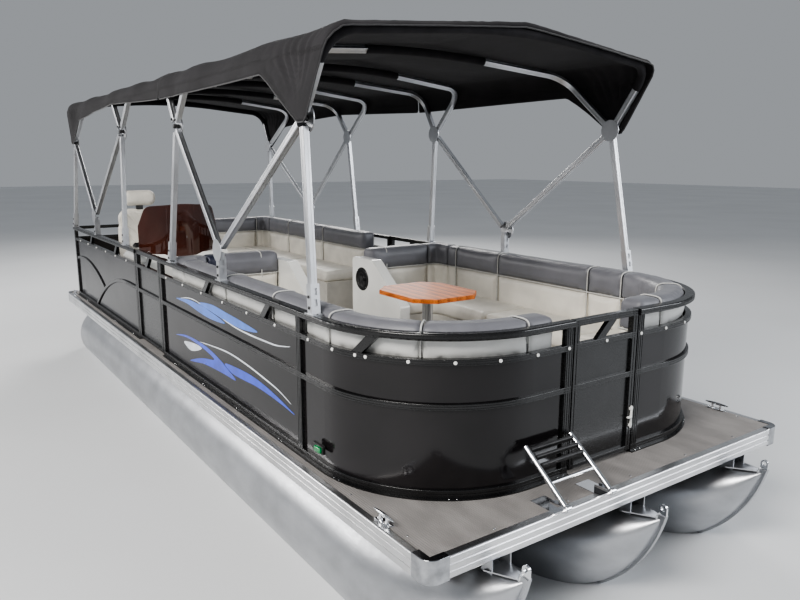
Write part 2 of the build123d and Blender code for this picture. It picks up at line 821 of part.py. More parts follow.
def aft_seat_plan(outer, inner_shift):
    """The aft lounge's plan: along the port side and round the stern corner."""
    y_in, x_in = seat_inner + inner_shift, aft_seat_aft + seat_depth - inner_shift
    with BuildSketch(mode=Mode.PRIVATE) as room:
        fence_outline(outer)
        fillet(room.vertices().group_by(Axis.X)[0], 30)
    with BuildSketch(mode=Mode.PRIVATE) as kept:
        with BuildLine():
            Polyline(
                (aft_seat_fore, half_beam), (deck_aft, half_beam), (deck_aft, stern_seat_inner),
                (x_in, stern_seat_inner), (x_in, y_in), (aft_seat_fore, y_in), close=True,
            )
        make_face()
    add(room.sketch)
    add(kept.sketch, mode=Mode.INTERSECT)


with BuildPart() as base:
    for low, tall, inset in ((0.0, toe_height, cushion_overhang + toe_depth),
                             (toe_height, seat_base_height - toe_height, cushion_overhang)):
        with BuildSketch(Plane.XY.offset(deck_top + low)):
            aft_seat_plan(seat_outer, inset)
        extrude(amount=tall)
save(base.part, "aft_seat_base")
with BuildPart() as cushion:
    with BuildSketch(Plane.XY.offset(seat_level)):
        aft_seat_plan(seat_outer + seat_back_thickness + soft_gap, 0.0)
    extrude(amount=seat_cushion_thickness)
save(cushion.part, "aft_seat_cushion")
with BuildPart() as back:
    with BuildSketch(Plane.XY.offset(seat_level)):
        aft_seat_plan(seat_outer, seat_depth - seat_back_thickness)
    extrude(amount=seat_back_height - seat_base_height)
save(back.part, "aft_seat_back")


# Table
table_x = deck_front - table_inset
with BuildPart() as table_top:
    with BuildSketch(Plane.XY.offset(deck_top + table_height - table_thickness)):
        with Locations((table_x, 0)):
            Rectangle(table_length, table_width)
        chamfer(vertices(), table_corner)
        fillet(vertices(), 20)
    extrude(amount=table_thickness)
    fillet(table_top.edges().group_by(Axis.Z)[-1], 5)
save(table_top.part, "table_top")
with BuildPart() as table_pedestal:
    post_at(table_x, 0, deck_top, 150, 10)
    with Locations((table_x, 0, deck_top + 10)):
        Cone(75, table_post, 30, align=upright)
    with BuildSketch(Plane.XY.offset(deck_top)):
        with Locations((table_x, 0)):
            Circle(table_post)
            with PolarLocations(table_post, 12):
                Circle(3.5, mode=Mode.SUBTRACT)
    extrude(amount=table_height - table_thickness)
    post_at(table_x, 0, deck_top + table_height - table_thickness - 8, 110, 8)
save(table_pedestal.part, "table_pedestal")


# Helm
console_front = deck_front - console_inset
console_aft = console_front - console_length
wheel_centre = Vector(console_aft - wheel_reach, -wheel_side, deck_top + wheel_height)
wheel_axis = Vector(-cos(radians(wheel_rake)), 0, sin(radians(wheel_rake)))
wheel_plane = Plane(origin=wheel_centre, x_dir=(0, 1, 0), z_dir=wheel_axis)
console_out, console_in = -fence_half + seat_outer, -console_inner
console_middle = (console_out + console_in) / 2
screen_half = (console_in - console_out) / 2 - 60


def screen_plan(play):
    """The windscreen's curved band in plan, and with some play the slot that holds it."""
    bow, half = console_front - 30, screen_half + play
    with BuildSketch(mode=Mode.PRIVATE) as band:
        with BuildLine():
            ThreePointArc(
                (bow - 150, console_middle - half), (bow + play, console_middle), (bow - 150, console_middle + half)
            )
            Line((bow - 150, console_middle + half), (bow - 150 - screen_thickness - 2 * play, console_middle + half))
            ThreePointArc(
                (bow - 150 - screen_thickness - 2 * play, console_middle + half),
                (bow - screen_thickness - play, console_middle),
                (bow - 150 - screen_thickness - 2 * play, console_middle - half),
            )
            Line((bow - 150 - screen_thickness - 2 * play, console_middle - half), (bow - 150, console_middle - half))
        make_face()
    return band.sketch


with BuildPart() as console:
    with BuildSketch(Plane.XZ.offset(-console_out)):
        with BuildLine():
            Polyline(
                (console_front - 20, deck_top), (console_front, deck_top + 90),
                (console_front - 6, deck_top + dash_height - 60), (console_front - 60, deck_top + dash_height),
                (console_front - 210, deck_top + dash_height + 18),
                (console_front - 300, deck_top + dash_height + 46),
                (console_aft + 60, deck_top + dash_height - 30), (console_aft, deck_top + 560),
                (console_aft + 40, deck_top + 470), (console_aft + 120, deck_top + 430),
                (console_aft + 120, deck_top), close=True,
            )
        make_face()
    extrude(amount=console_out - console_in)
    fillet(console.edges().filter_by(Axis.Z, tolerance=12).group_by(Axis.X)[-1], 70)
    with BuildSketch(Plane.XZ.offset(-console_middle)):
        with BuildLine():
            Polyline(
                (console_aft + 100, deck_top + 60), (console_aft + 330, deck_top + 110),
                (console_aft + 330, deck_top + 330), (console_aft + 100, deck_top + 380), close=True,
            )
        make_face()
    extrude(amount=(console_in - console_out) / 2 - 90, both=True, mode=Mode.SUBTRACT)
    with BuildSketch(Plane.XY.offset(deck_top + dash_height - screen_slot)):
        add(screen_plan(1.0))
    extrude(amount=3 * screen_slot, mode=Mode.SUBTRACT)
    with BuildSketch(wheel_plane.offset(-34)):
        Circle(24)
    extrude(amount=-130)
    with BuildSketch(wheel_plane.offset(-40)):
        Circle(10)
    extrude(amount=45)
save(console.part, "console")

with BuildPart() as windscreen:
    screen_low = deck_top + dash_height - screen_slot + 0.3
    with BuildSketch(Plane.XY.offset(screen_low)):
        add(screen_plan(0.0))
    extrude(amount=deck_top + screen_height - screen_low)
    with BuildSketch(Plane(origin=(console_front, 0, 0), x_dir=(0, 1, 0), z_dir=(1, 0, 0))):
        with BuildLine():
            y0, y1 = console_middle - screen_half - 5, console_middle + screen_half + 5
            shoulder, high = deck_top + dash_height + 230, deck_top + screen_height
            Polyline((y0, shoulder), (y0, screen_low - 5), (y1, screen_low - 5), (y1, shoulder))
            FilletPolyline(
                (y0, shoulder), (y0 + 60, high - 20), (console_middle, high), (y1 - 60, high - 20), (y1, shoulder),
                radius=[70, 900, 70],
            )
        make_face()
    extrude(amount=-console_length, mode=Mode.INTERSECT)
save(windscreen.part, "windscreen")

with BuildPart() as steering_wheel:
    with BuildSketch(Plane(origin=wheel_centre, x_dir=(0, 1, 0), z_dir=wheel_plane.x_dir.cross(wheel_axis))):
        with Locations((wheel_radius, 0)):
            Circle(13)
    revolve(axis=Axis(wheel_centre, wheel_axis))
    with BuildSketch(wheel_plane.offset(-30)):
        Circle(38)
    extrude(amount=40)
    with BuildSketch(wheel_plane.offset(-8)):
        with PolarLocations(wheel_radius / 2, 3, start_angle=30):
            Rectangle(wheel_radius, 26)
    extrude(amount=10)
    with BuildSketch(wheel_plane.offset(-31)):
        Circle(10.3)
    extrude(amount=37, mode=Mode.SUBTRACT)
save(steering_wheel.part, "steering_wheel")

seat_x, seat_y = deck_front - helm_seat_inset, -helm_seat_side
with BuildPart() as helm_pedestal:
    post_at(seat_x, seat_y, deck_top, 160, 10)
    with Locations((seat_x, seat_y, deck_top + 10)):
        Cone(90, 37, 40, align=upright)
    post_at(seat_x, seat_y, deck_top, 37, helm_pedestal_height - 12)
    post_at(seat_x, seat_y, deck_top + helm_pedestal_height - 12, 95, 12)
save(helm_pedestal.part, "helm_seat_pedestal")
with BuildPart() as helm_seat:
    half, low = helm_seat_width / 2, deck_top + helm_pedestal_height + soft_gap / 3
    box_at(seat_x - 230, seat_x + 260, seat_y - half, seat_y + half, low, low + 150)
    box_at(seat_x - 290, seat_x - 170, seat_y - half, seat_y + half, low + 70, low + 710)
    box_at(seat_x - 280, seat_x - 190, seat_y - 130, seat_y + 130, low + 700, low + 880)
save(helm_seat.part, "helm_seat")


# Fabric tops: bows and legs of square tube, pinned at two joints on each side
top_half_width = side_line - top_tuck
rail_top = deck_top + fence_height
# Each top: its three feet, its fore and aft joints with height, and how far each bow leans per rise
tops = {
    "front": {
        "feet": (deck_front - 1060.0, deck_front - 2270.0, deck_front - 3260.0),
        "joints": ((deck_front - 1220.0, deck_top + 1720.0), (deck_front - 3140.0, deck_top + 1750.0)),
        "leans": ((0.68, -1.19), (0.94, -0.6)),
    },
    "rear": {
        "feet": (deck_front - 4560.0, deck_front - 5630.0, deck_front - 6690.0),
        "joints": ((deck_front - 4630.0, deck_top + 1760.0), (deck_front - 6600.0, deck_top + 1700.0)),
        "leans": ((1.2, -0.87), (1.7, -0.45)),
    },
}


def tube_section(start, along, across=(0, 1, 0)):
    with BuildSketch(Plane(origin=start, x_dir=across, z_dir=along)) as section:
        RectangleRounded(top_tube, top_tube, tube_round)
        with PolarLocations(top_tube / 2, 4):
            Rectangle(2 * flute_depth, flute_width, mode=Mode.SUBTRACT)
    return section.sketch


def straight_tube(start, end, trim_start, trim_end):
    """A square tube between two points, stopping short of each by a trim."""
    path = end - start
    along = path.normalized()
    across = along.cross(Vector(1, 0, 0)).normalized() * -1
    extrude(tube_section(start + along * trim_start, along, across), amount=path.length - trim_start - trim_end)


def leg_head(start, head):
    """A leg's head, drawn in so that the nearest corner of its cut end lies against the joint's plate."""
    along = (head - start).normalized()
    corner = top_tube / 2 * abs(along.X * along.Y / along.Z)
    drawn = abs(along.Y) * knuckle_cut - corner
    return head - Vector(0, drawn if head.Y > 0 else -drawn)


def roof_bow(joint, lean):
    """One bow: up from a joint, over the roof and down to the joint on the other side."""
    x, z = joint
    rise = sqrt(1 + lean**2)
    lift = top_tube / 2 * (1 + abs(lean)) / rise
    edge = (deck_top + roof_edge_height - lift - z) * rise
    crown = (deck_top + roof_crown_height - lift - z) * rise
    half = top_half_width
    turn = roof_round * max(1.0, rise / 1.5) ** 2
    plane = Plane(origin=(x, 0, z), x_dir=(0, 1, 0), z_dir=(1 / rise, 0, -lean / rise))
    with BuildLine(plane) as path:
        FilletPolyline(
            (-half, knuckle_cut), (-half, edge), (0, crown), (half, edge), (half, knuckle_cut),
            radius=[turn, crown_ease * half / (crown - edge), turn],
        )
    section = tube_section(path.line @ 0, path.line % 0)
    sweep(section, path=path.line)


def foot_channel(foot, head, closed):
    """A channel on the top rail that holds a tube's foot, closed on its fore or aft side."""
    along = (head - foot).normalized()
    across = along.cross(Vector(1, 0, 0)).normalized() * -1
    inside = top_tube + 2 * channel_play
    outside = inside + 2 * channel_wall
    plane = Plane(origin=foot - along * 20, x_dir=across, z_dir=along)
    shift = closed * channel_wall * (1 if plane.y_dir.X > 0 else -1)
    with BuildSketch(plane) as section:
        with Locations((0, shift / 2)):
            Rectangle(outside, inside + channel_wall)
        with Locations((0, -shift / 2)):
            Rectangle(inside, inside + channel_wall, mode=Mode.SUBTRACT)
    extrude(section.sketch, amount=channel_height + 20)
    for level in (60, 115):
        with Locations(Location(foot + along * level)):
            Box(4 * top_tube, 18, 34, mode=Mode.SUBTRACT)
    box_at(
        foot.X - 45, foot.X + 45, foot.Y - top_rail_width / 2, foot.Y + top_rail_width / 2,
        foot.Z, foot.Z + channel_plate,
    )
    box_at(foot.X - 90, foot.X + 90, foot.Y - 90, foot.Y + 90, foot.Z - 60, foot.Z, mode=Mode.SUBTRACT)


def gusset(x, y, z, outward):
    """A round plate beside the tubes that meet at a joint."""
    with BuildSketch(Plane.XZ.offset(-y)) as disc:
        with Locations((x, z)):
            Circle(gusset_radius)
    extrude(disc.sketch, amount=-outward * gusset_thickness)


foot_gap = channel_plate + 12.0
for name, top in tops.items():
    fore_foot, middle_foot, aft_foot = top["feet"]
    fore_joint, aft_joint = top["joints"]
    with BuildPart() as bows:
        for joint, leans in zip(top["joints"], top["leans"]):
            for lean in leans:
                roof_bow(joint, lean)
    save(bows.part, f"{name}_top_bows")
    with BuildPart() as legs:
        for side in (1, -1):
            y_foot, y_head = side * side_line, side * top_half_width
            yoke = Vector(middle_foot, y_foot, rail_top + yoke_height)
            for x, joint in ((fore_foot, fore_joint), (aft_foot, aft_joint)):
                foot = Vector(x, y_foot, rail_top)
                head = Vector(joint[0], y_head, joint[1])
                straight_tube(foot, leg_head(foot, head), foot_gap, knuckle_cut)
                straight_tube(yoke, leg_head(yoke, head), knuckle_cut, knuckle_cut)
            straight_tube(Vector(middle_foot, y_foot, rail_top), yoke, channel_plate + channel_play, 14.0)
    save(legs.part, f"{name}_top_legs")

with BuildPart() as top_mounts:
    for top in tops.values():
        fore_foot, middle_foot, aft_foot = top["feet"]
        for side in (1, -1):
            y_foot, y_head = side * side_line, side * top_half_width
            for x, joint in ((fore_foot, top["joints"][0]), (aft_foot, top["joints"][1])):
                lean_side = 1 if joint[0] < x else -1
                foot = Vector(x, y_foot, rail_top)
                foot_channel(foot, leg_head(foot, Vector(joint[0], y_head, joint[1])), lean_side)
                gusset(joint[0], y_head - side * (top_tube / 2 + channel_play), joint[1], -side)
            yoke = Vector(middle_foot, y_foot, rail_top + yoke_height)
            foot_channel(Vector(middle_foot, y_foot, rail_top), yoke, 1)
            gusset(yoke.X, y_foot + side * (top_tube / 2 + channel_play), yoke.Z, side)
save(top_mounts.part, "top_mounts")

canopy_half = top_half_width + top_tube / 2 + canopy_play
crown_z, edge_z = deck_top + roof_crown_height + canopy_play, deck_top + roof_edge_height + canopy_play
seam = deck_front - 3430.0
# Each canopy's hem, seen from starboard: outline points forward to aft and back over the crown
hems = {
    "front": (
        (deck_front - 835.0, crown_z + 60), (deck_front - 1185.0, deck_top + 1700),
        (deck_front - 1245.0, deck_top + 1700), (deck_front - 1650.0, deck_top + 1960),
        (seam + 10, deck_top + 1950), (seam + 10, crown_z + 60),
    ),
    "rear": (
        (seam - 10, crown_z + 60), (seam - 10, deck_top + 1950), (deck_front - 4830.0, deck_top + 2000),
        (deck_front - 5540.0, deck_top + 1970), (deck_front - 6210.0, deck_top + 1920),
        (deck_front - 6580.0, deck_top + 1685), (deck_front - 6640.0, deck_top + 1685),
        (deck_front - 6885.0, crown_z + 60),
    ),
}
for name, hem in hems.items():
    fore, aft = max(x for x, z in hem), min(x for x, z in hem)
    with BuildPart() as canopy:
        with BuildSketch(Plane(origin=(aft, 0, 0), x_dir=(0, 1, 0), z_dir=(1, 0, 0))):
            for grow, kind in ((canopy_thickness, Mode.ADD), (0.0, Mode.SUBTRACT)):
                low = deck_top + 1600 - (canopy_thickness - grow)
                wide, edge, crown = canopy_half + grow, edge_z + grow, crown_z + grow
                with BuildLine():
                    FilletPolyline(
                        (-wide, low), (-wide, edge), (0, crown), (wide, edge), (wide, low),
                        radius=[canopy_round + grow, crown_ease * wide / (crown - edge), canopy_round + grow],
                    )
                    Line((wide, low), (-wide, low))
                make_face(mode=kind)
        extrude(amount=fore - aft)
        with BuildSketch(Plane.XZ):
            with BuildLine():
                Polyline(*hem, close=True)
            make_face()
        extrude(amount=half_beam, both=True, mode=Mode.INTERSECT)
    save(canopy.part, f"{name}_canopy")


# Deck fittings
with BuildPart() as cleats:
    for x in (deck_front - cleat_inset, deck_aft + 230.0):
        for side in (1, -1):
            y, z = side * (half_beam - cleat_side), deck_top + 36
            horn = Vector(x, y, z)
            with BuildSketch(Plane(origin=horn, x_dir=(1, 0, 0), z_dir=(0, 1, 0))):
                with BuildLine():
                    ThreePointArc((-cleat_length / 2, 3), (0, 9), (cleat_length / 2, 3))
                    Line((cleat_length / 2, 3), (cleat_length / 2, 0))
                    Line((cleat_length / 2, 0), (-cleat_length / 2, 0))
                    Line((-cleat_length / 2, 0), (-cleat_length / 2, 3))
                make_face()
            revolve(axis=Axis(horn, (1, 0, 0)))
            for shift in (-26, 26):
                with Locations((x + shift, y, deck_top)):
                    Cone(11, 7, z - deck_top, align=upright)
save(cleats.part, "cleats")

ladder_hinge = (deck_front + ladder_overhang, deck_top + 24.0)
ladder_rails = (-ladder_side - ladder_width / 2, -ladder_side + ladder_width / 2)
lean = Vector(-cos(radians(ladder_lean)), 0, sin(radians(ladder_lean)))
tread_stations = (222.0, 264.0, 306.0)


def ladder_point(distance, y):
    """A point along the stowed ladder."""
    return Vector(ladder_hinge[0], y, ladder_hinge[1]) + lean * distance


with BuildPart() as ladder:
    for y in ladder_rails:
        with BuildSketch(Plane(origin=ladder_point(0, y), z_dir=lean)):
            Circle(ladder_rail_radius)
        extrude(amount=ladder_length)
        with BuildSketch(Plane.XZ.offset(-y)):
            with Locations(ladder_hinge):
                Circle(17)
        extrude(amount=ladder_rail_radius, both=True)
        with BuildSketch(Plane.XZ.offset(-y)):
            with Locations(ladder_hinge):
                Circle(ladder_pin_radius + 0.5)
        extrude(amount=ladder_rail_radius + 1, both=True, mode=Mode.SUBTRACT)
    with BuildSketch(Plane(origin=ladder_point(tread_stations[0] - 90, ladder_rails[0]), z_dir=(0, 1, 0))):
        Circle(8)
    extrude(amount=ladder_width)
save(ladder.part, "boarding_ladder")

with BuildPart() as treads:
    for distance in tread_stations:
        start = ladder_point(distance, ladder_rails[0] + ladder_rail_radius + 0.3)
        with BuildSketch(Plane(origin=start, x_dir=lean, z_dir=(0, 1, 0))):
            RectangleRounded(tread_thickness, tread_depth, 6)
        extrude(amount=ladder_width - 2 * ladder_rail_radius - 0.6)
save(treads.part, "ladder_treads")

with BuildPart() as ladder_brackets:
    for y in ladder_rails:
        box_at(deck_front - 150, deck_front - 1, y - 45, y + 45, deck_top, deck_top + 5)
        for edge in (-1, 1):
            with BuildSketch(Plane.XZ.offset(-y - edge * (ladder_rail_radius + 1))):
                with Locations(ladder_hinge):
                    Circle(15)
                with BuildLine():
                    Polyline(
                        (deck_front - 60, deck_top), (deck_front, deck_top),
                        (ladder_hinge[0], ladder_hinge[1] - 15), (ladder_hinge[0], ladder_hinge[1] + 15),
                        (deck_front - 60, deck_top + 30), close=True,
                    )
                make_face()
            extrude(amount=-edge * 4)
        with BuildSketch(Plane.XZ.offset(-y)):
            with Locations(ladder_hinge):
                Circle(ladder_pin_radius)
        extrude(amount=ladder_rail_radius + 5, both=True)
save(ladder_brackets.part, "ladder_brackets")


# Outboard, tilted up
tilt = radians(motor_tilt)
forward = Vector(cos(tilt), 0, -sin(tilt))
upward = Vector(sin(tilt), 0, cos(tilt))
tilt_pivot = Vector(pod_aft - pivot_reach, 0, transom_height + pivot_rise)


def leg_point(x, y, z):
    """A point in the outboard's own frame."""
    return tilt_pivot + forward * x + Vector(0, y, 0) + upward * z


def leg_level(z, x=0.0):
    """A plane across the leg."""
    return Plane(origin=leg_point(x, 0, z), x_dir=forward, z_dir=upward)


def leg_side():
    """The leg's middle plane, seen from starboard."""
    return Plane(origin=tilt_pivot, x_dir=forward, z_dir=(0, -1, 0))


with BuildPart() as clamp_bracket:
    for side in (1, -1):
        with BuildSketch(Plane.XZ.offset(-side * clamp_half)):
            with BuildLine():
                Polyline(
                    (pod_aft, transom_height - 260), (pod_aft, transom_height + 60),
                    (tilt_pivot.X + 40, tilt_pivot.Z + 40), (tilt_pivot.X - 30, tilt_pivot.Z + 20),
                    (tilt_pivot.X - 30, tilt_pivot.Z - 40), (pod_aft - 40, transom_height - 240), close=True,
                )
            make_face()
            fillet(vertices().group_by(Axis.X)[0], 18)
        extrude(amount=-side * clamp_thickness)
    box_at(pod_aft - 12, pod_aft, -clamp_half, clamp_half, transom_height - 240, transom_height - 20)
    with BuildSketch(Plane.XZ):
        with Locations((tilt_pivot.X, tilt_pivot.Z)):
            Circle(shaft_radius)
    extrude(amount=clamp_half, both=True)
save(clamp_bracket.part, "clamp_bracket")

with BuildPart() as swivel_bracket:
    with BuildSketch(leg_side()):
        Circle(tilt_tube_radius)
    extrude(amount=clamp_half - clamp_thickness - 10, both=True)
    with BuildSketch(leg_level(swivel_bottom)):
        with Locations((steer_offset, 0)):
            Circle(swivel_radius)
        with Locations((steer_offset / 2, 0)):
            Rectangle(-steer_offset, 44)
    extrude(amount=swivel_top - swivel_bottom)
    with BuildSketch(leg_side()):
        Circle(shaft_radius + shaft_play)
    extrude(amount=clamp_half, both=True, mode=Mode.SUBTRACT)
    with BuildSketch(leg_level(swivel_bottom - 1)):
        with Locations((steer_offset, 0)):
            Circle(shaft_radius + shaft_play)
    extrude(amount=swivel_top - swivel_bottom + 2, mode=Mode.SUBTRACT)
save(swivel_bracket.part, "swivel_bracket")

leg_front = steer_offset - swivel_radius - leg_clearance
strut_aft = prop_station + 12.0


def leg_slice(z, front, aft, width, corner):
    """A rounded slice across the leg between a front and an aft station."""
    with BuildSketch(leg_level(z, (front + aft) / 2)) as section:
        RectangleRounded(front - aft, width, corner)
    return section.sketch


def foil_slice(z, front, aft, width):
    """A lens across the leg, with its edges fore and aft."""
    with BuildSketch(leg_level(z)) as section:
        with BuildLine():
            middle = (front + aft) / 2
            ThreePointArc((front, 0), (middle, width / 2), (aft, 0))
            ThreePointArc((aft, 0), (middle, -width / 2), (front, 0))
        make_face()
    return section.sketch


with BuildPart() as lower_unit:
    loft([
        leg_slice(cowl_base - 1, leg_front, steer_offset - 250, 150, 40),
        leg_slice(swivel_bottom - 30, leg_front, steer_offset - 190, 116, 34),
        leg_slice(vent_plate_level, leg_front + 60, strut_aft - 20, 84, 30),
    ])
    loft([
        foil_slice(vent_plate_level + 2, leg_front + 80, strut_aft, 84),
        foil_slice(prop_level, leg_front + 70, strut_aft, 60),
    ])
    loft([
        foil_slice(prop_level, leg_front + 10, strut_aft, 30),
        foil_slice(prop_level - 200, leg_front - 60, strut_aft, 12),
    ])
    for level, width in ((swivel_top + 10, 90), (swivel_bottom - 40, 60)):
        with BuildSketch(leg_level(level)):
            with Locations((steer_offset - 60, 0)):
                Rectangle(200, width)
            with Locations((steer_offset + 40, 0)):
                Circle(width / 2)
        extrude(amount=30)
    with BuildSketch(leg_level(swivel_bottom - 20)):
        with Locations((steer_offset, 0)):
            Circle(shaft_radius)
    extrude(amount=swivel_top - swivel_bottom + 40)
    with BuildSketch(leg_level(vent_plate_level)):
        with Locations((leg_front + 60, 0)):
            Circle(60)
        with Locations(((leg_front + 60 + prop_station - 150) / 2, 0)):
            Trapezoid(leg_front + 210 - prop_station, 160, 90, rotation=180)
    extrude(amount=10)
    with BuildSketch(leg_side()):
        with BuildLine():
            nose, tail = leg_front + 150, prop_station + 6
            ThreePointArc((nose, prop_level), (nose - 30, prop_level + 36), (nose - 90, prop_level + 56))
            Line((nose - 90, prop_level + 56), (tail + 60, prop_level + 56))
            Line((tail + 60, prop_level + 56), (tail, prop_level + prop_hub_radius))
            Line((tail, prop_level + prop_hub_radius), (tail, prop_level))
            Line((tail, prop_level), (nose, prop_level))
        make_face()
    revolve(axis=Axis(leg_point(0, 0, prop_level), forward))
    with BuildSketch(Plane(origin=leg_point(prop_station + 10, 0, prop_level), z_dir=forward * -1)):
        Circle(prop_shaft_radius)
    extrude(amount=prop_hub_length + 30)
save(lower_unit.part, "lower_unit")

block_centre = steer_offset - 120.0
with BuildPart() as engine_block:
    with BuildSketch(leg_level(cowl_base + cowl_wall)):
        with Locations((block_centre, 0)):
            RectangleRounded(320, 240, 30)
    extrude(amount=300)
save(engine_block.part, "engine_block")

# Cowl slices: height over the base, front and aft station, width, corner
cowl_slices = (
    (0.0, 110.0, -390.0, 360.0, 110.0),
    (60.0, 122.0, -425.0, 400.0, 130.0),
    (330.0, 92.0, -440.0, 390.0, 130.0),
    (470.0, 20.0, -395.0, 300.0, 110.0),
)


def cowl_body(inset):
    """The cowl's outer form, or brought in by a wall."""
    return loft([
        leg_slice(
            cowl_base + min(height, cowl_slices[-1][0] - 1.5 * inset) + (inset if height == 0.0 else 0.0),
            steer_offset + front - inset, steer_offset + aft + inset, width - 2 * inset, corner - inset,
        )
        for height, front, aft, width, corner in cowl_slices
    ])


with BuildPart() as hollow:
    cowl_body(cowl_wall)
with BuildPart() as cowl:
    cowl_body(0.0)
    fillet(cowl.edges().group_by(Axis((0, 0, 0), upward))[-1], 30)
    add(hollow.part, mode=Mode.SUBTRACT)
save(cowl.part, "outboard_cowl")

prop_centre = leg_point(prop_station, 0, prop_level)
prop_plane = Plane(origin=prop_centre, x_dir=(0, 1, 0), z_dir=forward * -1)
# Blade slices: radius, chord, thickness, pitch angle from the disc, sweep
blade_slices = ((prop_hub_radius - 8, 84.0, 13.0, 52.0), (110.0, 128.0, 8.0, 33.0), (prop_radius, 62.0, 4.0, 23.0))
with BuildPart() as blade:
    slices = []
    for radius, chord, thickness, pitch in blade_slices:
        origin = prop_centre - forward * (prop_hub_length / 2) + Vector(0, radius, 0)
        side_ways = prop_plane.z_dir.cross(Vector(0, 1, 0))
        chord_dir = side_ways * cos(radians(pitch)) + prop_plane.z_dir * sin(radians(pitch))
        with BuildSketch(Plane(origin=origin, x_dir=chord_dir, z_dir=(0, 1, 0))) as section:
            Ellipse(chord / 2, thickness / 2)
        slices.append(section.sketch)
    loft(slices)
with BuildPart() as propeller:
    with BuildSketch(prop_plane):
        Circle(prop_hub_radius)
    extrude(amount=prop_hub_length, taper=2)
    with BuildSketch(prop_plane.offset(40)):
        Circle(prop_hub_radius - 10)
        Circle(26, mode=Mode.SUBTRACT)
        with PolarLocations(30, 3):
            Rectangle(40, 8, mode=Mode.SUBTRACT)
    extrude(amount=prop_hub_length, mode=Mode.SUBTRACT)
    for turn in (0, 120, 240):
        add(blade.part.rotate(Axis(prop_centre, forward), turn))
    with BuildSketch(prop_plane.offset(-1)):
        Circle(prop_shaft_radius + 0.3)
    extrude(amount=prop_hub_length + 10, mode=Mode.SUBTRACT)
save(propeller.part, "propeller")
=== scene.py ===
"""The looks of a pontoon boat: finishes, upholstery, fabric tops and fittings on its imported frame.

Metres. +X is forward, +Y is port, +Z is up. Stations along the boat are measured from the front
edge of the deck, and heights from the deck's surface.
"""

from math import atan2, cos, hypot, pi, radians, sin, sqrt, tan

import bmesh
import bpy
from mathutils import Matrix, Vector, noise


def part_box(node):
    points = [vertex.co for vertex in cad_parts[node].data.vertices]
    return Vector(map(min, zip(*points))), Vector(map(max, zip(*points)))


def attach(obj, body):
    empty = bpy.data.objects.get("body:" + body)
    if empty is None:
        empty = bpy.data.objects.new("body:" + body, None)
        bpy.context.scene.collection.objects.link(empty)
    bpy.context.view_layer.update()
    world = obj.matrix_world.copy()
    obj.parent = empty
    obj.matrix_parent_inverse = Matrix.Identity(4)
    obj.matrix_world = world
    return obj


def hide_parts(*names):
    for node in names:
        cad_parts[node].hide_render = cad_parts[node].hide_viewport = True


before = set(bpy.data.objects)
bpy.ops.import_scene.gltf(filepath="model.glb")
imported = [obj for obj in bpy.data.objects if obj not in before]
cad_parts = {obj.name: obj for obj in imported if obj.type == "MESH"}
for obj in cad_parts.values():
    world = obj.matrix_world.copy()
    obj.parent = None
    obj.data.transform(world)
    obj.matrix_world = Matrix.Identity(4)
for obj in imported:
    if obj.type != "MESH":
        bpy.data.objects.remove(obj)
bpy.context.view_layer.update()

bl_info = {
    "name": "Pontoon boat dressing",
    "version": (1, 0, 0),
    "blender": (4, 5, 0),
    "location": "3D View > Sidebar > Boat",
    "description": "Finishes, upholstery, tops and fittings for a pontoon boat",
    "category": "Object",
}

EDGE_LOW, EDGE_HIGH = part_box("rub_rails")
FRONT, AFT, SIDE = EDGE_HIGH.x, EDGE_LOW.x, EDGE_HIGH.y
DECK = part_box("deck")[1].z
FENCE_SIDE = SIDE - 0.080
BOW_CORNER = 0.720
PANEL_FACE = FENCE_SIDE - 0.015
SEAT_OUTER = 0.046
UP = Vector((0, 0, 1))


def at(x, y, z):
    """A point by its station from the deck's front edge and its height over the deck."""
    return Vector((FRONT + x, y, DECK + z))


# Finishes


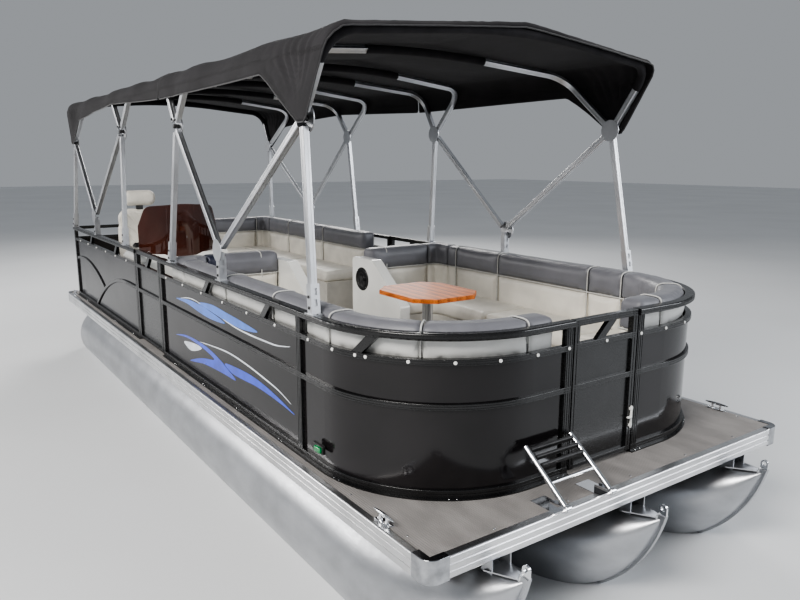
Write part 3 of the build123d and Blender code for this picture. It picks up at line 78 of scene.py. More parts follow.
class Finish:
    """One procedural material, built up in layers."""

    def __init__(self, name, colour, roughness, metallic=0.0, uv=False, **sockets):
        self.material = bpy.data.materials.new(name)
        self.material.use_nodes = True
        self.tree = self.material.node_tree
        self.shader = self.tree.nodes["Principled BSDF"]
        self.colour, self.roughness = Vector(colour[:3]), roughness
        self.shader.inputs["Base Color"].default_value = (*colour[:3], 1)
        self.shader.inputs["Roughness"].default_value = roughness
        self.shader.inputs["Metallic"].default_value = metallic
        for socket, value in sockets.items():
            self.shader.inputs[socket.replace("_", " ")].default_value = value
        coords = self.tree.nodes.new("ShaderNodeTexCoord")
        self.place = coords.outputs["UV" if uv else "Object"]
        self.normal = None

    def node(self, kind, vector=None, **values):
        made = self.tree.nodes.new("ShaderNode" + kind)
        for key, value in values.items():
            if key in made.bl_rna.properties:
                setattr(made, key, value)
            else:
                made.inputs[key.replace("_", " ")].default_value = value
        if vector is not None:
            self.tree.links.new(vector, made.inputs["Vector"])
        return made

    def stretched(self, scale=(1, 1, 1), turn=(0, 0, 0)):
        """Coordinates stretched and turned for a grain."""
        mapping = self.node("Mapping", self.place)
        mapping.inputs["Scale"].default_value = scale
        mapping.inputs["Rotation"].default_value = [radians(a) for a in turn]
        return mapping.outputs["Vector"]

    def mottle(self, size, scale=(1, 1, 1), detail=4.0, turn=(0, 0, 0)):
        """Soft noise whose features are about a size across."""
        return self.node("TexNoise", self.stretched(scale, turn), Scale=1 / size, Detail=detail).outputs["Fac"]

    def cells(self, size, feature="F1", scale=(1, 1, 1)):
        made = self.node("TexVoronoi", self.stretched(scale), feature=feature, Scale=1 / size)
        return made.outputs["Distance"]

    def ribs(self, pitch, direction="Y", profile="SIN", warp=0.0, turn=(0, 0, 0)):
        """Parallel ribs at a pitch."""
        made = self.node(
            "TexWave", self.stretched(turn=turn), bands_direction=direction, wave_profile=profile,
            Scale=pi / 10 / pitch, Distortion=warp, Detail=2.0,
        )
        return made.outputs["Fac"]

    def tint(self, mask, dark, light, low=0.35, high=0.65):
        """Colour between two shades of the base, or between two given colours, by a mask."""
        ramp = self.node("ValToRGB")
        shades = [self.colour * s if isinstance(s, float) else Vector(s) for s in (dark, light)]
        for stop, position, shade in zip(ramp.color_ramp.elements, (low, high), shades):
            stop.position, stop.color = position, (*shade, 1)
        self.tree.links.new(mask, ramp.inputs["Fac"])
        self.tree.links.new(ramp.outputs["Color"], self.shader.inputs["Base Color"])
        return self

    def polish(self, mask, low, high):
        """Roughness between two values by a mask."""
        spread = self.node("MapRange")
        spread.inputs["To Min"].default_value, spread.inputs["To Max"].default_value = low, high
        self.tree.links.new(mask, spread.inputs["Value"])
        self.tree.links.new(spread.outputs["Result"], self.shader.inputs["Roughness"])
        return self

    def relief(self, mask, depth, strength=1.0):
        """A bump of a depth in metres, over any bump before it."""
        bump = self.node("Bump", Strength=strength, Distance=depth)
        self.tree.links.new(mask, bump.inputs["Height"])
        if self.normal is not None:
            self.tree.links.new(self.normal, bump.inputs["Normal"])
        self.normal = bump.outputs["Normal"]
        self.tree.links.new(self.normal, self.shader.inputs["Normal"])
        return self


def metal(name, colour, roughness, grain=(1, 12, 12), size=0.02, depth=0.0006):
    made = Finish(name, colour, roughness, 1.0)
    streaks = made.mottle(size, grain, 6.0)
    clouds = made.mottle(0.35)
    made.tint(clouds, 0.80, 1.05).polish(streaks, roughness - 0.07, roughness + 0.12)
    return made.relief(streaks, depth, 0.5)


def hull_metal():
    made = metal("Hull aluminium", scene_finish().hull_metal, 0.34, (2, 9, 9), 0.06, 0.0004)
    swirl = made.mottle(0.22, (1, 1, 1.6), 5.0)
    return made.tint(swirl, 0.84, 1.05, 0.3, 0.7).relief(made.mottle(0.5), 0.010, 0.5).material


def rail_metal():
    made = metal("Ribbed edge aluminium", scene_finish().rail_metal, 0.27, (1, 30, 30), 0.05, 0.0002)
    return made.relief(made.ribs(0.009, "Z"), 0.0006, 0.6).material


def tube_metal():
    return metal("Anodised tube", scene_finish().tube_metal, 0.36, (3, 3, 3), 0.05, 0.0001).material


def frame_metal():
    return metal("Mill aluminium", (0.55, 0.56, 0.57), 0.45).material


def chrome():
    made = Finish("Polished stainless", (0.82, 0.83, 0.85), 0.09, 1.0)
    return made.polish(made.mottle(0.04), 0.05, 0.17).tint(made.mottle(0.2), 0.86, 1.0).material


def cap_chrome():
    made = Finish("Polished corner", (0.46, 0.47, 0.49), 0.06, 1.0)
    return made.polish(made.mottle(0.04), 0.03, 0.12).tint(made.mottle(0.06), 0.7, 1.1).material


def deck_vinyl():
    made = Finish("Ribbed deck vinyl", scene_finish().deck_vinyl, 0.62, Sheen_Weight=0.15)
    wear = made.mottle(0.22, (1, 2.5, 1), 8.0)
    made.tint(wear, 0.78, 1.16, 0.32, 0.68).polish(wear, 0.5, 0.72)
    return made.relief(made.ribs(0.0125), 0.0022).relief(made.mottle(0.004), 0.0003, 0.5).material


def fence_paint():
    made = Finish("Gloss black extrusion", scene_finish().fence_paint, 0.26, Coat_Weight=0.25, Coat_Roughness=0.1)
    made.tint(made.mottle(0.12), 0.7, 1.5).polish(made.mottle(0.03, (1, 6, 6)), 0.2, 0.36)
    return made.relief(made.mottle(0.006), 0.0002, 0.4).material


def panel_paint():
    made = Finish("High gloss panel", scene_finish().panel_paint, 0.10, Specular_IOR_Level=0.45)
    made.tint(made.mottle(0.5), 0.7, 1.6).polish(made.mottle(0.25), 0.08, 0.17)
    return made.relief(made.mottle(0.45, (1, 1, 2.0), 1.0), 0.006, 0.55).material


def vinyl(name, colour, roughness=0.42):
    made = Finish(name, colour, roughness, Sheen_Weight=0.12, Sheen_Roughness=0.4)
    grain = made.cells(0.0035)
    made.tint(made.mottle(0.18, detail=6.0), 0.88, 1.06).polish(made.mottle(0.05), roughness - 0.08, roughness + 0.1)
    return made.relief(grain, 0.0006, 0.7).relief(made.mottle(0.07), 0.004, 0.5).material


def grey_vinyl():
    return vinyl("Grey bolster vinyl", scene_finish().bolster_vinyl)


def cream_vinyl():
    return vinyl("Cream cushion vinyl", scene_finish().cushion_vinyl, 0.46)


# Near-black blue vinyl that paints the shade on the starboard bow lounge's aft end.
def shade_band_vinyl():
    return vinyl("Painted shade band vinyl", (0.022, 0.025, 0.045), 0.4)


def white_vinyl():
    return vinyl("Pale shell vinyl", (0.66, 0.66, 0.64), 0.4)


def piping_vinyl():
    made = Finish("Pale piping", (0.60, 0.60, 0.58), 0.5, Sheen_Weight=0.1)
    return made.tint(made.mottle(0.01), 0.85, 1.1).relief(made.ribs(0.003, "X"), 0.0003).material


def seat_plastic():
    made = Finish("Moulded seat base", (0.62, 0.60, 0.55), 0.55)
    made.tint(made.mottle(0.15), 0.88, 1.05).polish(made.mottle(0.02), 0.48, 0.66)
    return made.relief(made.cells(0.005), 0.0005, 0.8).material


def gel_coat():
    made = Finish("White gel coat", (0.84, 0.84, 0.81), 0.18, Coat_Weight=0.6, Coat_Roughness=0.06)
    made.tint(made.mottle(0.3), 0.93, 1.02).polish(made.mottle(0.1), 0.13, 0.25)
    return made.relief(made.mottle(0.012), 0.0003, 0.5).material


def tinted_acrylic():
    made = Finish(
        "Tinted acrylic", (0.046, 0.0130, 0.0080), 0.05, IOR=1.49, Alpha=0.9, Coat_Weight=1.0, Coat_Roughness=0.02,
    )
    made.tint(made.mottle(0.35), 0.8, 1.5).polish(made.mottle(0.08), 0.03, 0.08)
    return made.material


def varnished_wood():
    made = Finish("Varnished wood", scene_finish().table_wood, 0.42, Specular_IOR_Level=0.25)
    boards = made.ribs(0.075, "Y", "SAW")
    grain = made.node("TexNoise", made.stretched((1.4, 38, 38)), Scale=6.0, Detail=8.0, Distortion=0.6).outputs["Fac"]
    mixed = made.node("Math", operation="MULTIPLY_ADD")
    made.tree.links.new(boards, mixed.inputs[0])
    mixed.inputs[1].default_value = 0.22
    made.tree.links.new(grain, mixed.inputs[2])
    made.tint(mixed.outputs["Value"], (0.20, 0.042, 0.008), (0.68, 0.19, 0.035), 0.42, 0.72)
    return made.polish(grain, 0.38, 0.52).relief(grain, 0.0004, 0.4).material


def canopy_cloth():
    made = Finish(
        "Charcoal canvas", scene_finish().canopy_cloth, 0.9, uv=True, Sheen_Weight=0.06, Sheen_Roughness=0.6,
        Specular_IOR_Level=0.2,
    )
    made.tint(made.mottle(0.35, detail=8.0), 0.72, 1.3)
    made.polish(made.mottle(0.05), 0.78, 0.94)
    made.relief(made.ribs(0.0045, "X"), 0.0005).relief(made.ribs(0.0045, "Y"), 0.0005)
    return made.relief(made.mottle(0.14, (1, 3.0, 1)), 0.010, 0.5).material


def pocket_cloth():
    made = Finish("Canvas pocket", scene_finish().canopy_cloth, 0.9, Sheen_Weight=0.06, Specular_IOR_Level=0.2)
    made.tint(made.mottle(0.12, detail=8.0), 0.7, 1.2)
    return made.relief(made.ribs(0.0045, "X"), 0.0005).relief(made.mottle(0.06), 0.005, 0.5).material


def binding_tape():
    made = Finish("Canvas binding", (0.02, 0.02, 0.022), 0.8, Sheen_Weight=0.3)
    return made.tint(made.mottle(0.01), 0.7, 1.4).relief(made.mottle(0.003), 0.0006).material


def black_plastic():
    made = Finish("Black moulding", (0.022, 0.022, 0.023), 0.42)
    made.tint(made.mottle(0.05), 0.7, 1.5).polish(made.mottle(0.02), 0.34, 0.55)
    return made.relief(made.cells(0.003), 0.0003, 0.8).material


def black_rubber():
    made = Finish("Black rubber", (0.018, 0.018, 0.018), 0.68)
    return made.tint(made.mottle(0.03), 0.7, 1.8).relief(made.ribs(0.006, "X"), 0.001).material


def white_plastic():
    made = Finish("White nylon", (0.82, 0.82, 0.80), 0.35)
    return made.tint(made.mottle(0.02), 0.9, 1.03).polish(made.mottle(0.01), 0.28, 0.45).material


def film(name, colour):
    made = Finish(name, colour, 0.3, Coat_Weight=0.5, Coat_Roughness=0.1)
    return made.tint(made.mottle(0.12), 0.8, 1.15).polish(made.mottle(0.04), 0.24, 0.36).material


def lens(name, colour):
    made = Finish(name, colour, 0.12, IOR=1.5, Coat_Weight=1.0, Coat_Roughness=0.03)
    return made.tint(made.mottle(0.01), 0.6, 1.3).relief(made.ribs(0.004, "X"), 0.0008).material


def motor_paint():
    made = Finish("Dark motor enamel", scene_finish().motor_paint, 0.2, 0.45, Coat_Weight=1.0, Coat_Roughness=0.05)
    made.tint(made.cells(0.0012), 0.7, 1.6).polish(made.mottle(0.1), 0.15, 0.28)
    return made.relief(made.mottle(0.3), 0.004, 0.4).material


def cast_metal():
    made = Finish("Painted casting", (0.045, 0.048, 0.052), 0.46, 0.4)
    made.tint(made.mottle(0.05), 0.7, 1.5).polish(made.mottle(0.02), 0.38, 0.58)
    return made.relief(made.mottle(0.004), 0.0006).material


def bead_metal():
    made = Finish("Weld bead", (0.80, 0.81, 0.82), 0.3, 1.0)
    made.tint(made.mottle(0.012), 0.75, 1.1).polish(made.mottle(0.006), 0.2, 0.45)
    return made.relief(made.mottle(0.006), 0.002).material


def dial_face():
    made = Finish("Dial face", (0.03, 0.03, 0.035), 0.3, Coat_Weight=1.0, Coat_Roughness=0.02)
    return made.tint(made.mottle(0.01), 0.8, 1.4).polish(made.mottle(0.02), 0.24, 0.36).material


MADE = {}


def finish_of(maker, *args):
    """A finish made once and then shared."""
    key = (maker.__name__, *args)
    if key not in MADE:
        MADE[key] = maker(*args)
    return MADE[key]


def scene_finish():
    return bpy.context.scene.boat_finish


def scene_sizes():
    return bpy.context.scene.boat_sizes


# Shapes


def facing(origin, normal):
    """A placement whose Z runs along a normal."""
    return Matrix.Translation(origin) @ Vector(normal).to_track_quat("Z", "Y").to_matrix().to_4x4()


class Shape:
    """A mesh gathered from simple worked forms."""

    def __init__(self):
        self.bm = bmesh.new()
        self.slot = 0

    def take(self, part, slot=None):
        for face in part.faces:
            face.material_index = self.slot if slot is None else slot
        mesh = bpy.data.meshes.new("part")
        part.to_mesh(mesh)
        part.free()
        self.bm.from_mesh(mesh)
        bpy.data.meshes.remove(mesh)
        return self

    def block(self, centre, size, turn=None, bevel=0.002, segments=2):
        part = bmesh.new()
        bmesh.ops.create_cube(part, size=1.0)
        bmesh.ops.scale(part, vec=Vector(size), verts=part.verts)
        if bevel:
            bmesh.ops.bevel(
                part, geom=part.edges[:], offset=bevel, segments=segments, profile=0.5, affect="EDGES", material=-1
            )
        place = Matrix.Translation(centre) @ (turn.to_4x4() if turn else Matrix.Identity(4))
        bmesh.ops.transform(part, matrix=place, verts=part.verts)
        return self.take(part)

    def rod(self, start, end, radius, end_radius=None, segments=20, bevel=0.0):
        start, end = Vector(start), Vector(end)
        part = bmesh.new()
        bmesh.ops.create_cone(
            part, cap_ends=True, segments=segments, radius1=radius,
            radius2=radius if end_radius is None else end_radius, depth=(end - start).length,
            matrix=facing((start + end) / 2, end - start),
        )
        if bevel:
            rims = [e for e in part.edges if any(len(f.verts) == segments for f in e.link_faces)]
            bmesh.ops.bevel(part, geom=rims, offset=bevel, segments=2, profile=0.5, affect="EDGES", material=-1)
        return self.take(part)

    def turned(self, origin, axis, profile, steps=28):
        """A form turned about an axis from radius and height pairs."""
        part = bmesh.new()
        verts = [part.verts.new((max(r, 0.0), 0, h)) for r, h in profile]
        for a, b in zip(verts, verts[1:]):
            part.edges.new((a, b))
        bmesh.ops.spin(
            part, geom=part.verts[:] + part.edges[:], cent=(0, 0, 0), axis=(0, 0, 1), angle=2 * pi, steps=steps,
            use_merge=True,
        )
        bmesh.ops.remove_doubles(part, verts=part.verts, dist=1e-6)
        bmesh.ops.recalc_face_normals(part, faces=part.faces)
        bmesh.ops.transform(part, matrix=facing(origin, axis), verts=part.verts)
        return self.take(part)

    def screw(self, origin, normal, radius=0.006, height=0.0035):
        """A domed screw head."""
        return self.turned(
            origin, normal,
            [(radius, -0.001), (radius, height * 0.4), (radius * 0.75, height * 0.85), (radius * 0.3, height), (0, height)],
            10,
        )

    def plate(self, outline, thickness, origin, across, normal, bevel=0.0008):
        """A flat plate from an outline in its own plane."""
        normal, across = Vector(normal).normalized(), Vector(across).normalized()
        up = normal.cross(across)
        part = bmesh.new()
        face = part.faces.new([part.verts.new(Vector(origin) + across * x + up * y) for x, y in outline])
        raised = bmesh.ops.extrude_face_region(part, geom=[face])["geom"]
        bmesh.ops.translate(part, vec=normal * thickness, verts=[v for v in raised if isinstance(v, bmesh.types.BMVert)])
        bmesh.ops.recalc_face_normals(part, faces=part.faces)
        if bevel:
            bmesh.ops.bevel(
                part, geom=part.edges[:], offset=bevel, segments=1, profile=0.5, affect="EDGES", material=-1
            )
        return self.take(part)

    def tube(self, points, radius, cyclic=False, smooth=True, radii=None, steps=6, sides=3):
        """A round cord or bead along points."""
        curve = bpy.data.curves.new("line", "CURVE")
        curve.dimensions = "3D"
        curve.bevel_depth, curve.bevel_resolution, curve.use_fill_caps = radius, sides, not cyclic
        spline = curve.splines.new("NURBS" if smooth else "POLY")
        spline.points.add(len(points) - 1)
        for n, point in enumerate(points):
            spline.points[n].co = (*point, 1)
            spline.points[n].radius = radii[n] if radii else 1.0
        spline.use_cyclic_u = cyclic
        if smooth:
            spline.order_u, spline.use_endpoint_u, spline.resolution_u = 3, not cyclic, steps
        holder = bpy.data.objects.new("line", curve)
        mesh = bpy.data.meshes.new_from_object(holder)
        part = bmesh.new()
        part.from_mesh(mesh)
        bmesh.ops.remove_doubles(part, verts=part.verts, dist=1e-6)
        bpy.data.objects.remove(holder)
        bpy.data.curves.remove(curve)
        bpy.data.meshes.remove(mesh)
        return self.take(part)

    def done(self, name, body, *materials, slot=None, crease=38):
        """The finished piece, riding on its body."""
        for edge in self.bm.edges:
            edge.smooth = edge.calc_face_angle(0.0) < radians(crease)
        for face in self.bm.faces:
            face.smooth = True
        mesh = bpy.data.meshes.new(name)
        self.bm.to_mesh(mesh)
        self.bm.free()
        for material in materials:
            mesh.materials.append(material)
        made = bpy.data.objects.new(name, mesh)
        bpy.context.scene.collection.objects.link(made)
        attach(made, body)
        return made


def fence_walk(distance, side, inset=0.0):
    """A point and outward direction on the fence's plan, a distance from the middle of the bow."""
    front, wide, corner = FRONT - 0.250, FENCE_SIDE, BOW_CORNER
    flat, arc = wide - corner, corner * pi / 2
    if distance < flat:
        return Vector((front - inset, side * distance, 0)), Vector((1, 0, 0))
    if distance < flat + arc:
        turn = (distance - flat) / corner
        out = Vector((cos(turn), side * sin(turn), 0))
        return Vector((front - corner, side * flat, 0)) + out * (corner - inset), out
    return Vector((front - corner - (distance - flat - arc), side * (wide - inset), 0)), Vector((0, side, 0))


def fence_run(station):
    """The distance along the fence at which the side reaches a station."""
    return FENCE_SIDE - BOW_CORNER + BOW_CORNER * pi / 2 + (-0.250 - BOW_CORNER - station)


# Upholstery


def cut_piece(source, cuts, shrink):
    """The part of a mesh on the kept side of each cut, drawn in a little from the cuts."""
    part = source.copy()
    for origin, normal in cuts:
        normal = Vector(normal).normalized()
        bmesh.ops.bisect_plane(
            part, geom=part.verts[:] + part.edges[:] + part.faces[:], dist=1e-5,
            plane_co=Vector(origin) - normal * shrink, plane_no=normal, clear_outer=True,
        )
        rim = [e for e in part.edges if e.is_boundary]
        if rim:
            bmesh.ops.holes_fill(part, edges=rim, sides=0)
    bmesh.ops.recalc_face_normals(part, faces=part.faces)
    return part


def welded(node):
    """A CAD node's mesh, merged."""
    mesh = bmesh.new()
    mesh.from_mesh(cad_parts[node].data)
    bmesh.ops.remove_doubles(mesh, verts=mesh.verts, dist=2e-5)
    bmesh.ops.dissolve_limit(mesh, angle_limit=radians(0.5), verts=mesh.verts, edges=mesh.edges)
    return mesh


SOFT = {}


def softened(node, voxel=0.014, rounds=14):
    """A node's mesh with its edges rounded like a stuffed cover."""
    if node not in SOFT:
        SOFT[node] = remeshed(welded(node), voxel, rounds)
    mesh = bmesh.new()
    mesh.from_mesh(SOFT[node])
    return mesh


def applied(holder):
    """An object's mesh with its modifiers, as a new mesh."""
    graph = bpy.context.evaluated_depsgraph_get()
    return bpy.data.meshes.new_from_object(holder.evaluated_get(graph))


def remeshed(part, voxel, smooth=2):
    """A closed even mesh over a part."""
    mesh = bpy.data.meshes.new("pad")
    part.to_mesh(mesh)
    part.free()
    holder = bpy.data.objects.new("pad", mesh)
    bpy.context.scene.collection.objects.link(holder)
    remesh = holder.modifiers.new("Remesh", "REMESH")
    remesh.mode, remesh.voxel_size, remesh.adaptivity = "VOXEL", voxel, 0.0
    even = holder.modifiers.new("Smooth", "CORRECTIVE_SMOOTH")
    even.factor, even.iterations, even.use_only_smooth = 0.5, smooth, True
    made = applied(holder)
    bpy.data.objects.remove(holder)
    bpy.data.meshes.remove(mesh)
    return made


def gathered(meshes, name):
    """Several meshes as one object."""
    bm = bmesh.new()
    for mesh in meshes:
        bm.from_mesh(mesh)
        bpy.data.meshes.remove(mesh)
    mesh = bpy.data.meshes.new(name)
    bm.to_mesh(mesh)
    bm.free()
    made = bpy.data.objects.new(name, mesh)
    bpy.context.scene.collection.objects.link(made)
    return made


def inflated(pad, reach, low, high):
    """Blow a pad up like a stuffed cover, no further than a reach and inside a box."""
    before = [v.co.copy() for v in pad.data.vertices]
    normals = [n.vector.copy() for n in pad.data.vertex_normals]
    cloth = pad.modifiers.new("Cloth", "CLOTH")
    cloth.settings.quality = 2
    cloth.settings.mass = 0.4
    cloth.settings.use_pressure = True
    cloth.settings.uniform_pressure_force = 4.0
    cloth.settings.effector_weights.gravity = 0.0
    cloth.settings.tension_stiffness = 30
    cloth.settings.compression_stiffness = 30
    cloth.settings.bending_stiffness = 1.0
    cloth.collision_settings.use_collision = False
    for step in range(1, 21):
        bpy.context.scene.frame_set(step)
    swollen = applied(pad)
    after = [v.co.copy() for v in swollen.vertices]
    pad.modifiers.clear()
    bpy.data.meshes.remove(swollen)
    bpy.context.scene.frame_set(1)
    for vertex, start, end, normal in zip(pad.data.vertices, before, after, normals):
        move = end - start
        if move.length > reach:
            move = move.normalized() * reach
        crease = noise.noise(start * 9.0) * 0.0012 + noise.noise(start * 31.0) * 0.0005
        place = start + move + normal * crease
        vertex.co = [min(max(c, l), h) for c, l, h in zip(place, low, high)]
    pad.data.update()


def sewn(node, pieces):
    """The parts of a node's rounded shape between cuts."""
    source = softened(node)
    parts = [cut_piece(source, cuts, 0.003) for cuts in pieces]
    source.free()
    return [part for part in parts if part.faces]


def cushion(name, node, parts, body, voxel=0.014, reach=0.010, paint=None, maker=cream_vinyl):
    """A node's padded cover, stuffed from its parts."""
    pad = gathered([remeshed(part, voxel) for part in parts], name)
    low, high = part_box(node)
    inflated(pad, reach, low, high)
    # The fourth slot holds the painted shade band vinyl.
    for material in (maker, grey_vinyl, white_vinyl, shade_band_vinyl):
        pad.data.materials.append(finish_of(material))
    for face in pad.data.polygons:
        face.use_smooth = True
        face.material_index = paint(face.center, face.normal) if paint else 0
    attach(pad, body)
    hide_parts(node)
    return pad


def aft_of(x):
    return (at(x, 0, 0), (1, 0, 0))


def fore_of(x):
    return (at(x, 0, 0), (-1, 0, 0))


def beyond(side, y):
    """Further out than y on a side."""
    return ((0, side * y, 0), (0, -side, 0))


def within(side, y):
    return ((0, side * y, 0), (0, side, 0))


def over(z):
    return (at(0, 0, z), (0, 0, -1))


def under(z):
    return (at(0, 0, z), (0, 0, 1))


def swept(side, centre, degrees, keep):
    """The cut through a bow seat's corner at an angle from straight outboard towards the bow."""
    turn = radians(degrees)
    across = Vector((cos(turn), -side * sin(turn), 0))
    return (at(centre[0], side * centre[1], 0), across if keep == "aft" else -across)


TIER = 0.635
CORNER = (-0.970, 0.495)


def bow_back_pieces(side, aft, seams):
    """The plan pieces of a bow lounge's back, from its short aft end round to the gate."""
    stations = [aft + 0.30, *seams, CORNER[0]]
    plan = [
        [aft_of(stations[0]), within(side, 0.93)],
        [aft_of(stations[0]), beyond(side, 0.93)],
    ]
    plan += [[fore_of(a), aft_of(b)] for a, b in zip(stations, stations[1:])]
    plan += [
        [fore_of(CORNER[0]), beyond(side, CORNER[1]), swept(side, CORNER, 45, "aft")],
        [fore_of(CORNER[0]), beyond(side, CORNER[1]), swept(side, CORNER, 45, "fore")],
        [fore_of(CORNER[0]), within(side, CORNER[1])],
    ]
    return plan


def two_tiers(plan):
    return [[*cuts, over(TIER)] for cuts in plan] + [[*cuts, under(TIER)] for cuts in plan]


def outward_at(place):
    """The direction out of the boat at a place along its lounges."""
    side = 1 if place.y > 0 else -1
    from_corner = Vector((place.x - at(CORNER[0], 0, 0).x, place.y - side * CORNER[1], 0))
    if place.x < at(-6.55, 0, 0).x:
        return Vector((-1, 0, 0))
    if from_corner.x < 0:
        return Vector((0, side, 0))
    return from_corner.normalized() if from_corner.y * side > 0 else Vector((1, 0, 0))


def back_paint(centre, normal):
    """Grey above the tier line, cream below it, a pale shell outside, and a dark blue band of painted shade on the
    starboard bow lounge's aft end.
    """
    height = centre.z - DECK
    skirt = abs(centre.y) > 1.0 or centre.x > at(-0.55, 0, 0).x or centre.x < at(-6.55, 0, 0).x
    if skirt and height < 0.765 and normal.dot(outward_at(centre)) > 0.35:
        return 2
    # Painted shade: faces in this strip on the starboard bow lounge's aft end take the dark blue shade band vinyl.
    station = centre.x - FRONT
    if -3.45 < station < -3.02 and abs(centre.y + 0.895) < 0.032:
        return 3
    return 1 if height > TIER else 0


def section_of(node, origin, normal):
    """The lines in which a plane cuts a CAD node, as lists of points."""
    source = softened(node) if node in SOFT else welded(node)
    cut = bmesh.ops.bisect_plane(
        source, geom=source.verts[:] + source.edges[:] + source.faces[:], dist=1e-6, plane_co=origin,
        plane_no=normal,
    )["geom_cut"]
    left = {e for e in cut if isinstance(e, bmesh.types.BMEdge) and e.is_valid}
    lines = []
    while left:
        edge = left.pop()
        run = [edge.verts[0], edge.verts[1]]
        while True:
            step = next((e for e in run[-1].link_edges if e in left), None)
            if step is None:
                break
            left.discard(step)
            run.append(step.other_vert(run[-1]))
        lines.append([v.co.copy() for v in run])
    source.free()
    return lines


def upholstery():
    for word, side, aft, seams in (
        ("starboard", -1, -3.40, (-2.30, -1.60)), ("port", 1, -3.09, (-2.67, -2.15, -1.25)),
    ):
        plan = bow_back_pieces(side, aft, seams)
        cushion(
            f"{word}_bow_bolsters", f"{word}_bow_seat_back", sewn(f"{word}_bow_seat_back", two_tiers(plan)),
            "hull", paint=back_paint,
        )
        run = (-2.76, -1.90, -0.98) if side < 0 else (-2.60, -1.80, -0.98)
        seats = [
            [aft_of(run[0]), within(side, 0.64)], [aft_of(run[0]), beyond(side, 0.64)],
            [fore_of(run[0]), aft_of(run[1])], [fore_of(run[1]), aft_of(run[2])],
            [fore_of(run[2]), beyond(side, 0.62)], [fore_of(run[2]), within(side, 0.62)],
        ]
        cushion(
            f"{word}_bow_seat_pads", f"{word}_bow_seat_cushion", sewn(f"{word}_bow_seat_cushion", seats), "hull",
            reach=0.014,
        )
    backs = [
        [aft_of(-4.14), fore_of(-5.00), beyond(1, 0.5)], [aft_of(-5.00), fore_of(-5.85), beyond(1, 0.5)],
        [aft_of(-5.85), fore_of(-6.40), beyond(1, 0.8)], [aft_of(-6.40), beyond(1, 0.93)],
        [aft_of(-6.40), within(1, 0.93)],
    ]
    cushion(
        "aft_bolsters", "aft_seat_back", sewn("aft_seat_back", two_tiers(backs)), "hull",
        paint=back_paint,
    )
    seats = [
        [aft_of(-4.14), fore_of(-5.20)], [aft_of(-5.20), fore_of(-6.10)], [aft_of(-6.10), beyond(1, 0.72)],
        [aft_of(-6.10), within(1, 0.72)],
    ]
    cushion(
        "aft_seat_pads", "aft_seat_cushion", sewn("aft_seat_cushion", seats), "hull", reach=0.014
    )
    piping()


def piping():
    """Pale piping let into the seams of the lounges' backs."""
    level = (at(0, 0, TIER), UP)
    runs = {
        "aft_seat_back": [level, *(((at(x, 0, 0)), (1, 0, 0)) for x in (-5.00, -5.85)), (at(0, 0.93, 0), (0, 1, 0))],
    }
    for word, side, aft, seams in (
        ("starboard", -1, -3.10, (-2.30, -1.60, -0.97)), ("port", 1, -2.79, (-2.67, -2.15, -1.25, -0.97)),
    ):
        runs[f"{word}_bow_seat_back"] = [
            level, *((at(x, 0, 0), (1, 0, 0)) for x in seams), (at(0, side * CORNER[1], 0), (0, 1, 0)),
            swept(side, CORNER, 45, "fore"),
        ]
    cords = Shape()
    for node, planes in runs.items():
        for origin, normal in planes:
            for line in section_of(node, origin, normal):
                if len(line) > 3:
                    cords.tube(line, 0.0042, smooth=False, sides=1)
    cords.done("seat_piping", "hull", finish_of(piping_vinyl), slot="vinyl_cream", crease=70)


def stuffed(centre, size, bevel, turn=None):
    """A soft block with well rounded edges."""
    return Shape().block(centre, size, turn, bevel=bevel, segments=5).bm


def slab(centre, width, height, corner, thickness, turn):
    """A soft upright slab with rounded corners, facing forward."""
    outline = []
    for y, z, start in ((1, 1, 0), (-1, 1, 90), (-1, -1, 180), (1, -1, 270)):
        for n in range(7):
            a = radians(start + n * 15)
            outline.append((y * (width / 2 - corner) + corner * cos(a), z * (height / 2 - corner) + corner * sin(a)))
    back = Vector(centre) - turn @ Vector((thickness / 2, 0, 0))
    return Shape().plate(
        outline, thickness, back, turn @ Vector((0, 1, 0)), turn @ Vector((1, 0, 0)), bevel=thickness * 0.3
    ).bm


def helm_chair():
    """The helm seat: a seat pad, a winged back with V channels, a pillow headrest and its bracket."""
    low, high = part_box("helm_seat")
    x_seat, middle = at(-5.50, 0, 0).x, (low.y + high.y) / 2
    lean = Matrix.Rotation(radians(-4), 3, "Y")
    parts = [
        stuffed((x_seat + 0.030, middle, low.z + 0.080), (0.430, 0.330, 0.150), 0.055),
        slab((x_seat - 0.215, middle, low.z + 0.410), 0.450, 0.580, 0.105, 0.095, lean),
        slab((x_seat - 0.225, middle, high.z - 0.080), 0.330, 0.155, 0.070, 0.105, lean),
    ]
    for side in (-1, 1):
        splay = Matrix.Rotation(radians(side * 16), 3, "Z")
        parts.append(stuffed((x_seat + 0.010, middle + side * 0.198, low.z + 0.090), (0.470, 0.105, 0.165), 0.050))
        parts.append(
            stuffed((x_seat - 0.165, middle + side * 0.194, low.z + 0.330), (0.120, 0.090, 0.420), 0.043, splay @ lean)
        )
    pad = cushion("helm_seat_pads", "helm_seat", parts, "helm_seat", voxel=0.0095, reach=0.010)
    for vertex in pad.data.vertices:
        place = vertex.co
        across = abs(place.y - middle)
        if low.z + 0.22 < place.z < low.z + 0.66 and across < 0.17 and place.x > x_seat - 0.21:
            wave = (place.z - across * 1.1) / 0.110
            place.x -= 0.016 * max(0.0, 1 - abs(wave - round(wave)) * 7)
        if low.z + 0.10 < place.z < low.z + 0.18 and across < 0.15:
            wave = (place.x + across * 0.5) / 0.105
            place.z -= 0.010 * max(0.0, 1 - abs(wave - round(wave)) * 7)
    pad.data.update()
    brackets = Shape()
    brackets.block((x_seat - 0.220, middle, high.z - 0.180), (0.030, 0.070, 0.110), bevel=0.008)
    for side in (-1, 1):
        brackets.block((x_seat + 0.02, middle + side * 0.16, low.z - 0.008), (0.34, 0.030, 0.014), bevel=0.003)
    brackets.done("helm_seat_brackets", "helm_seat", finish_of(black_plastic), slot="wheel_black")


# Fabric tops


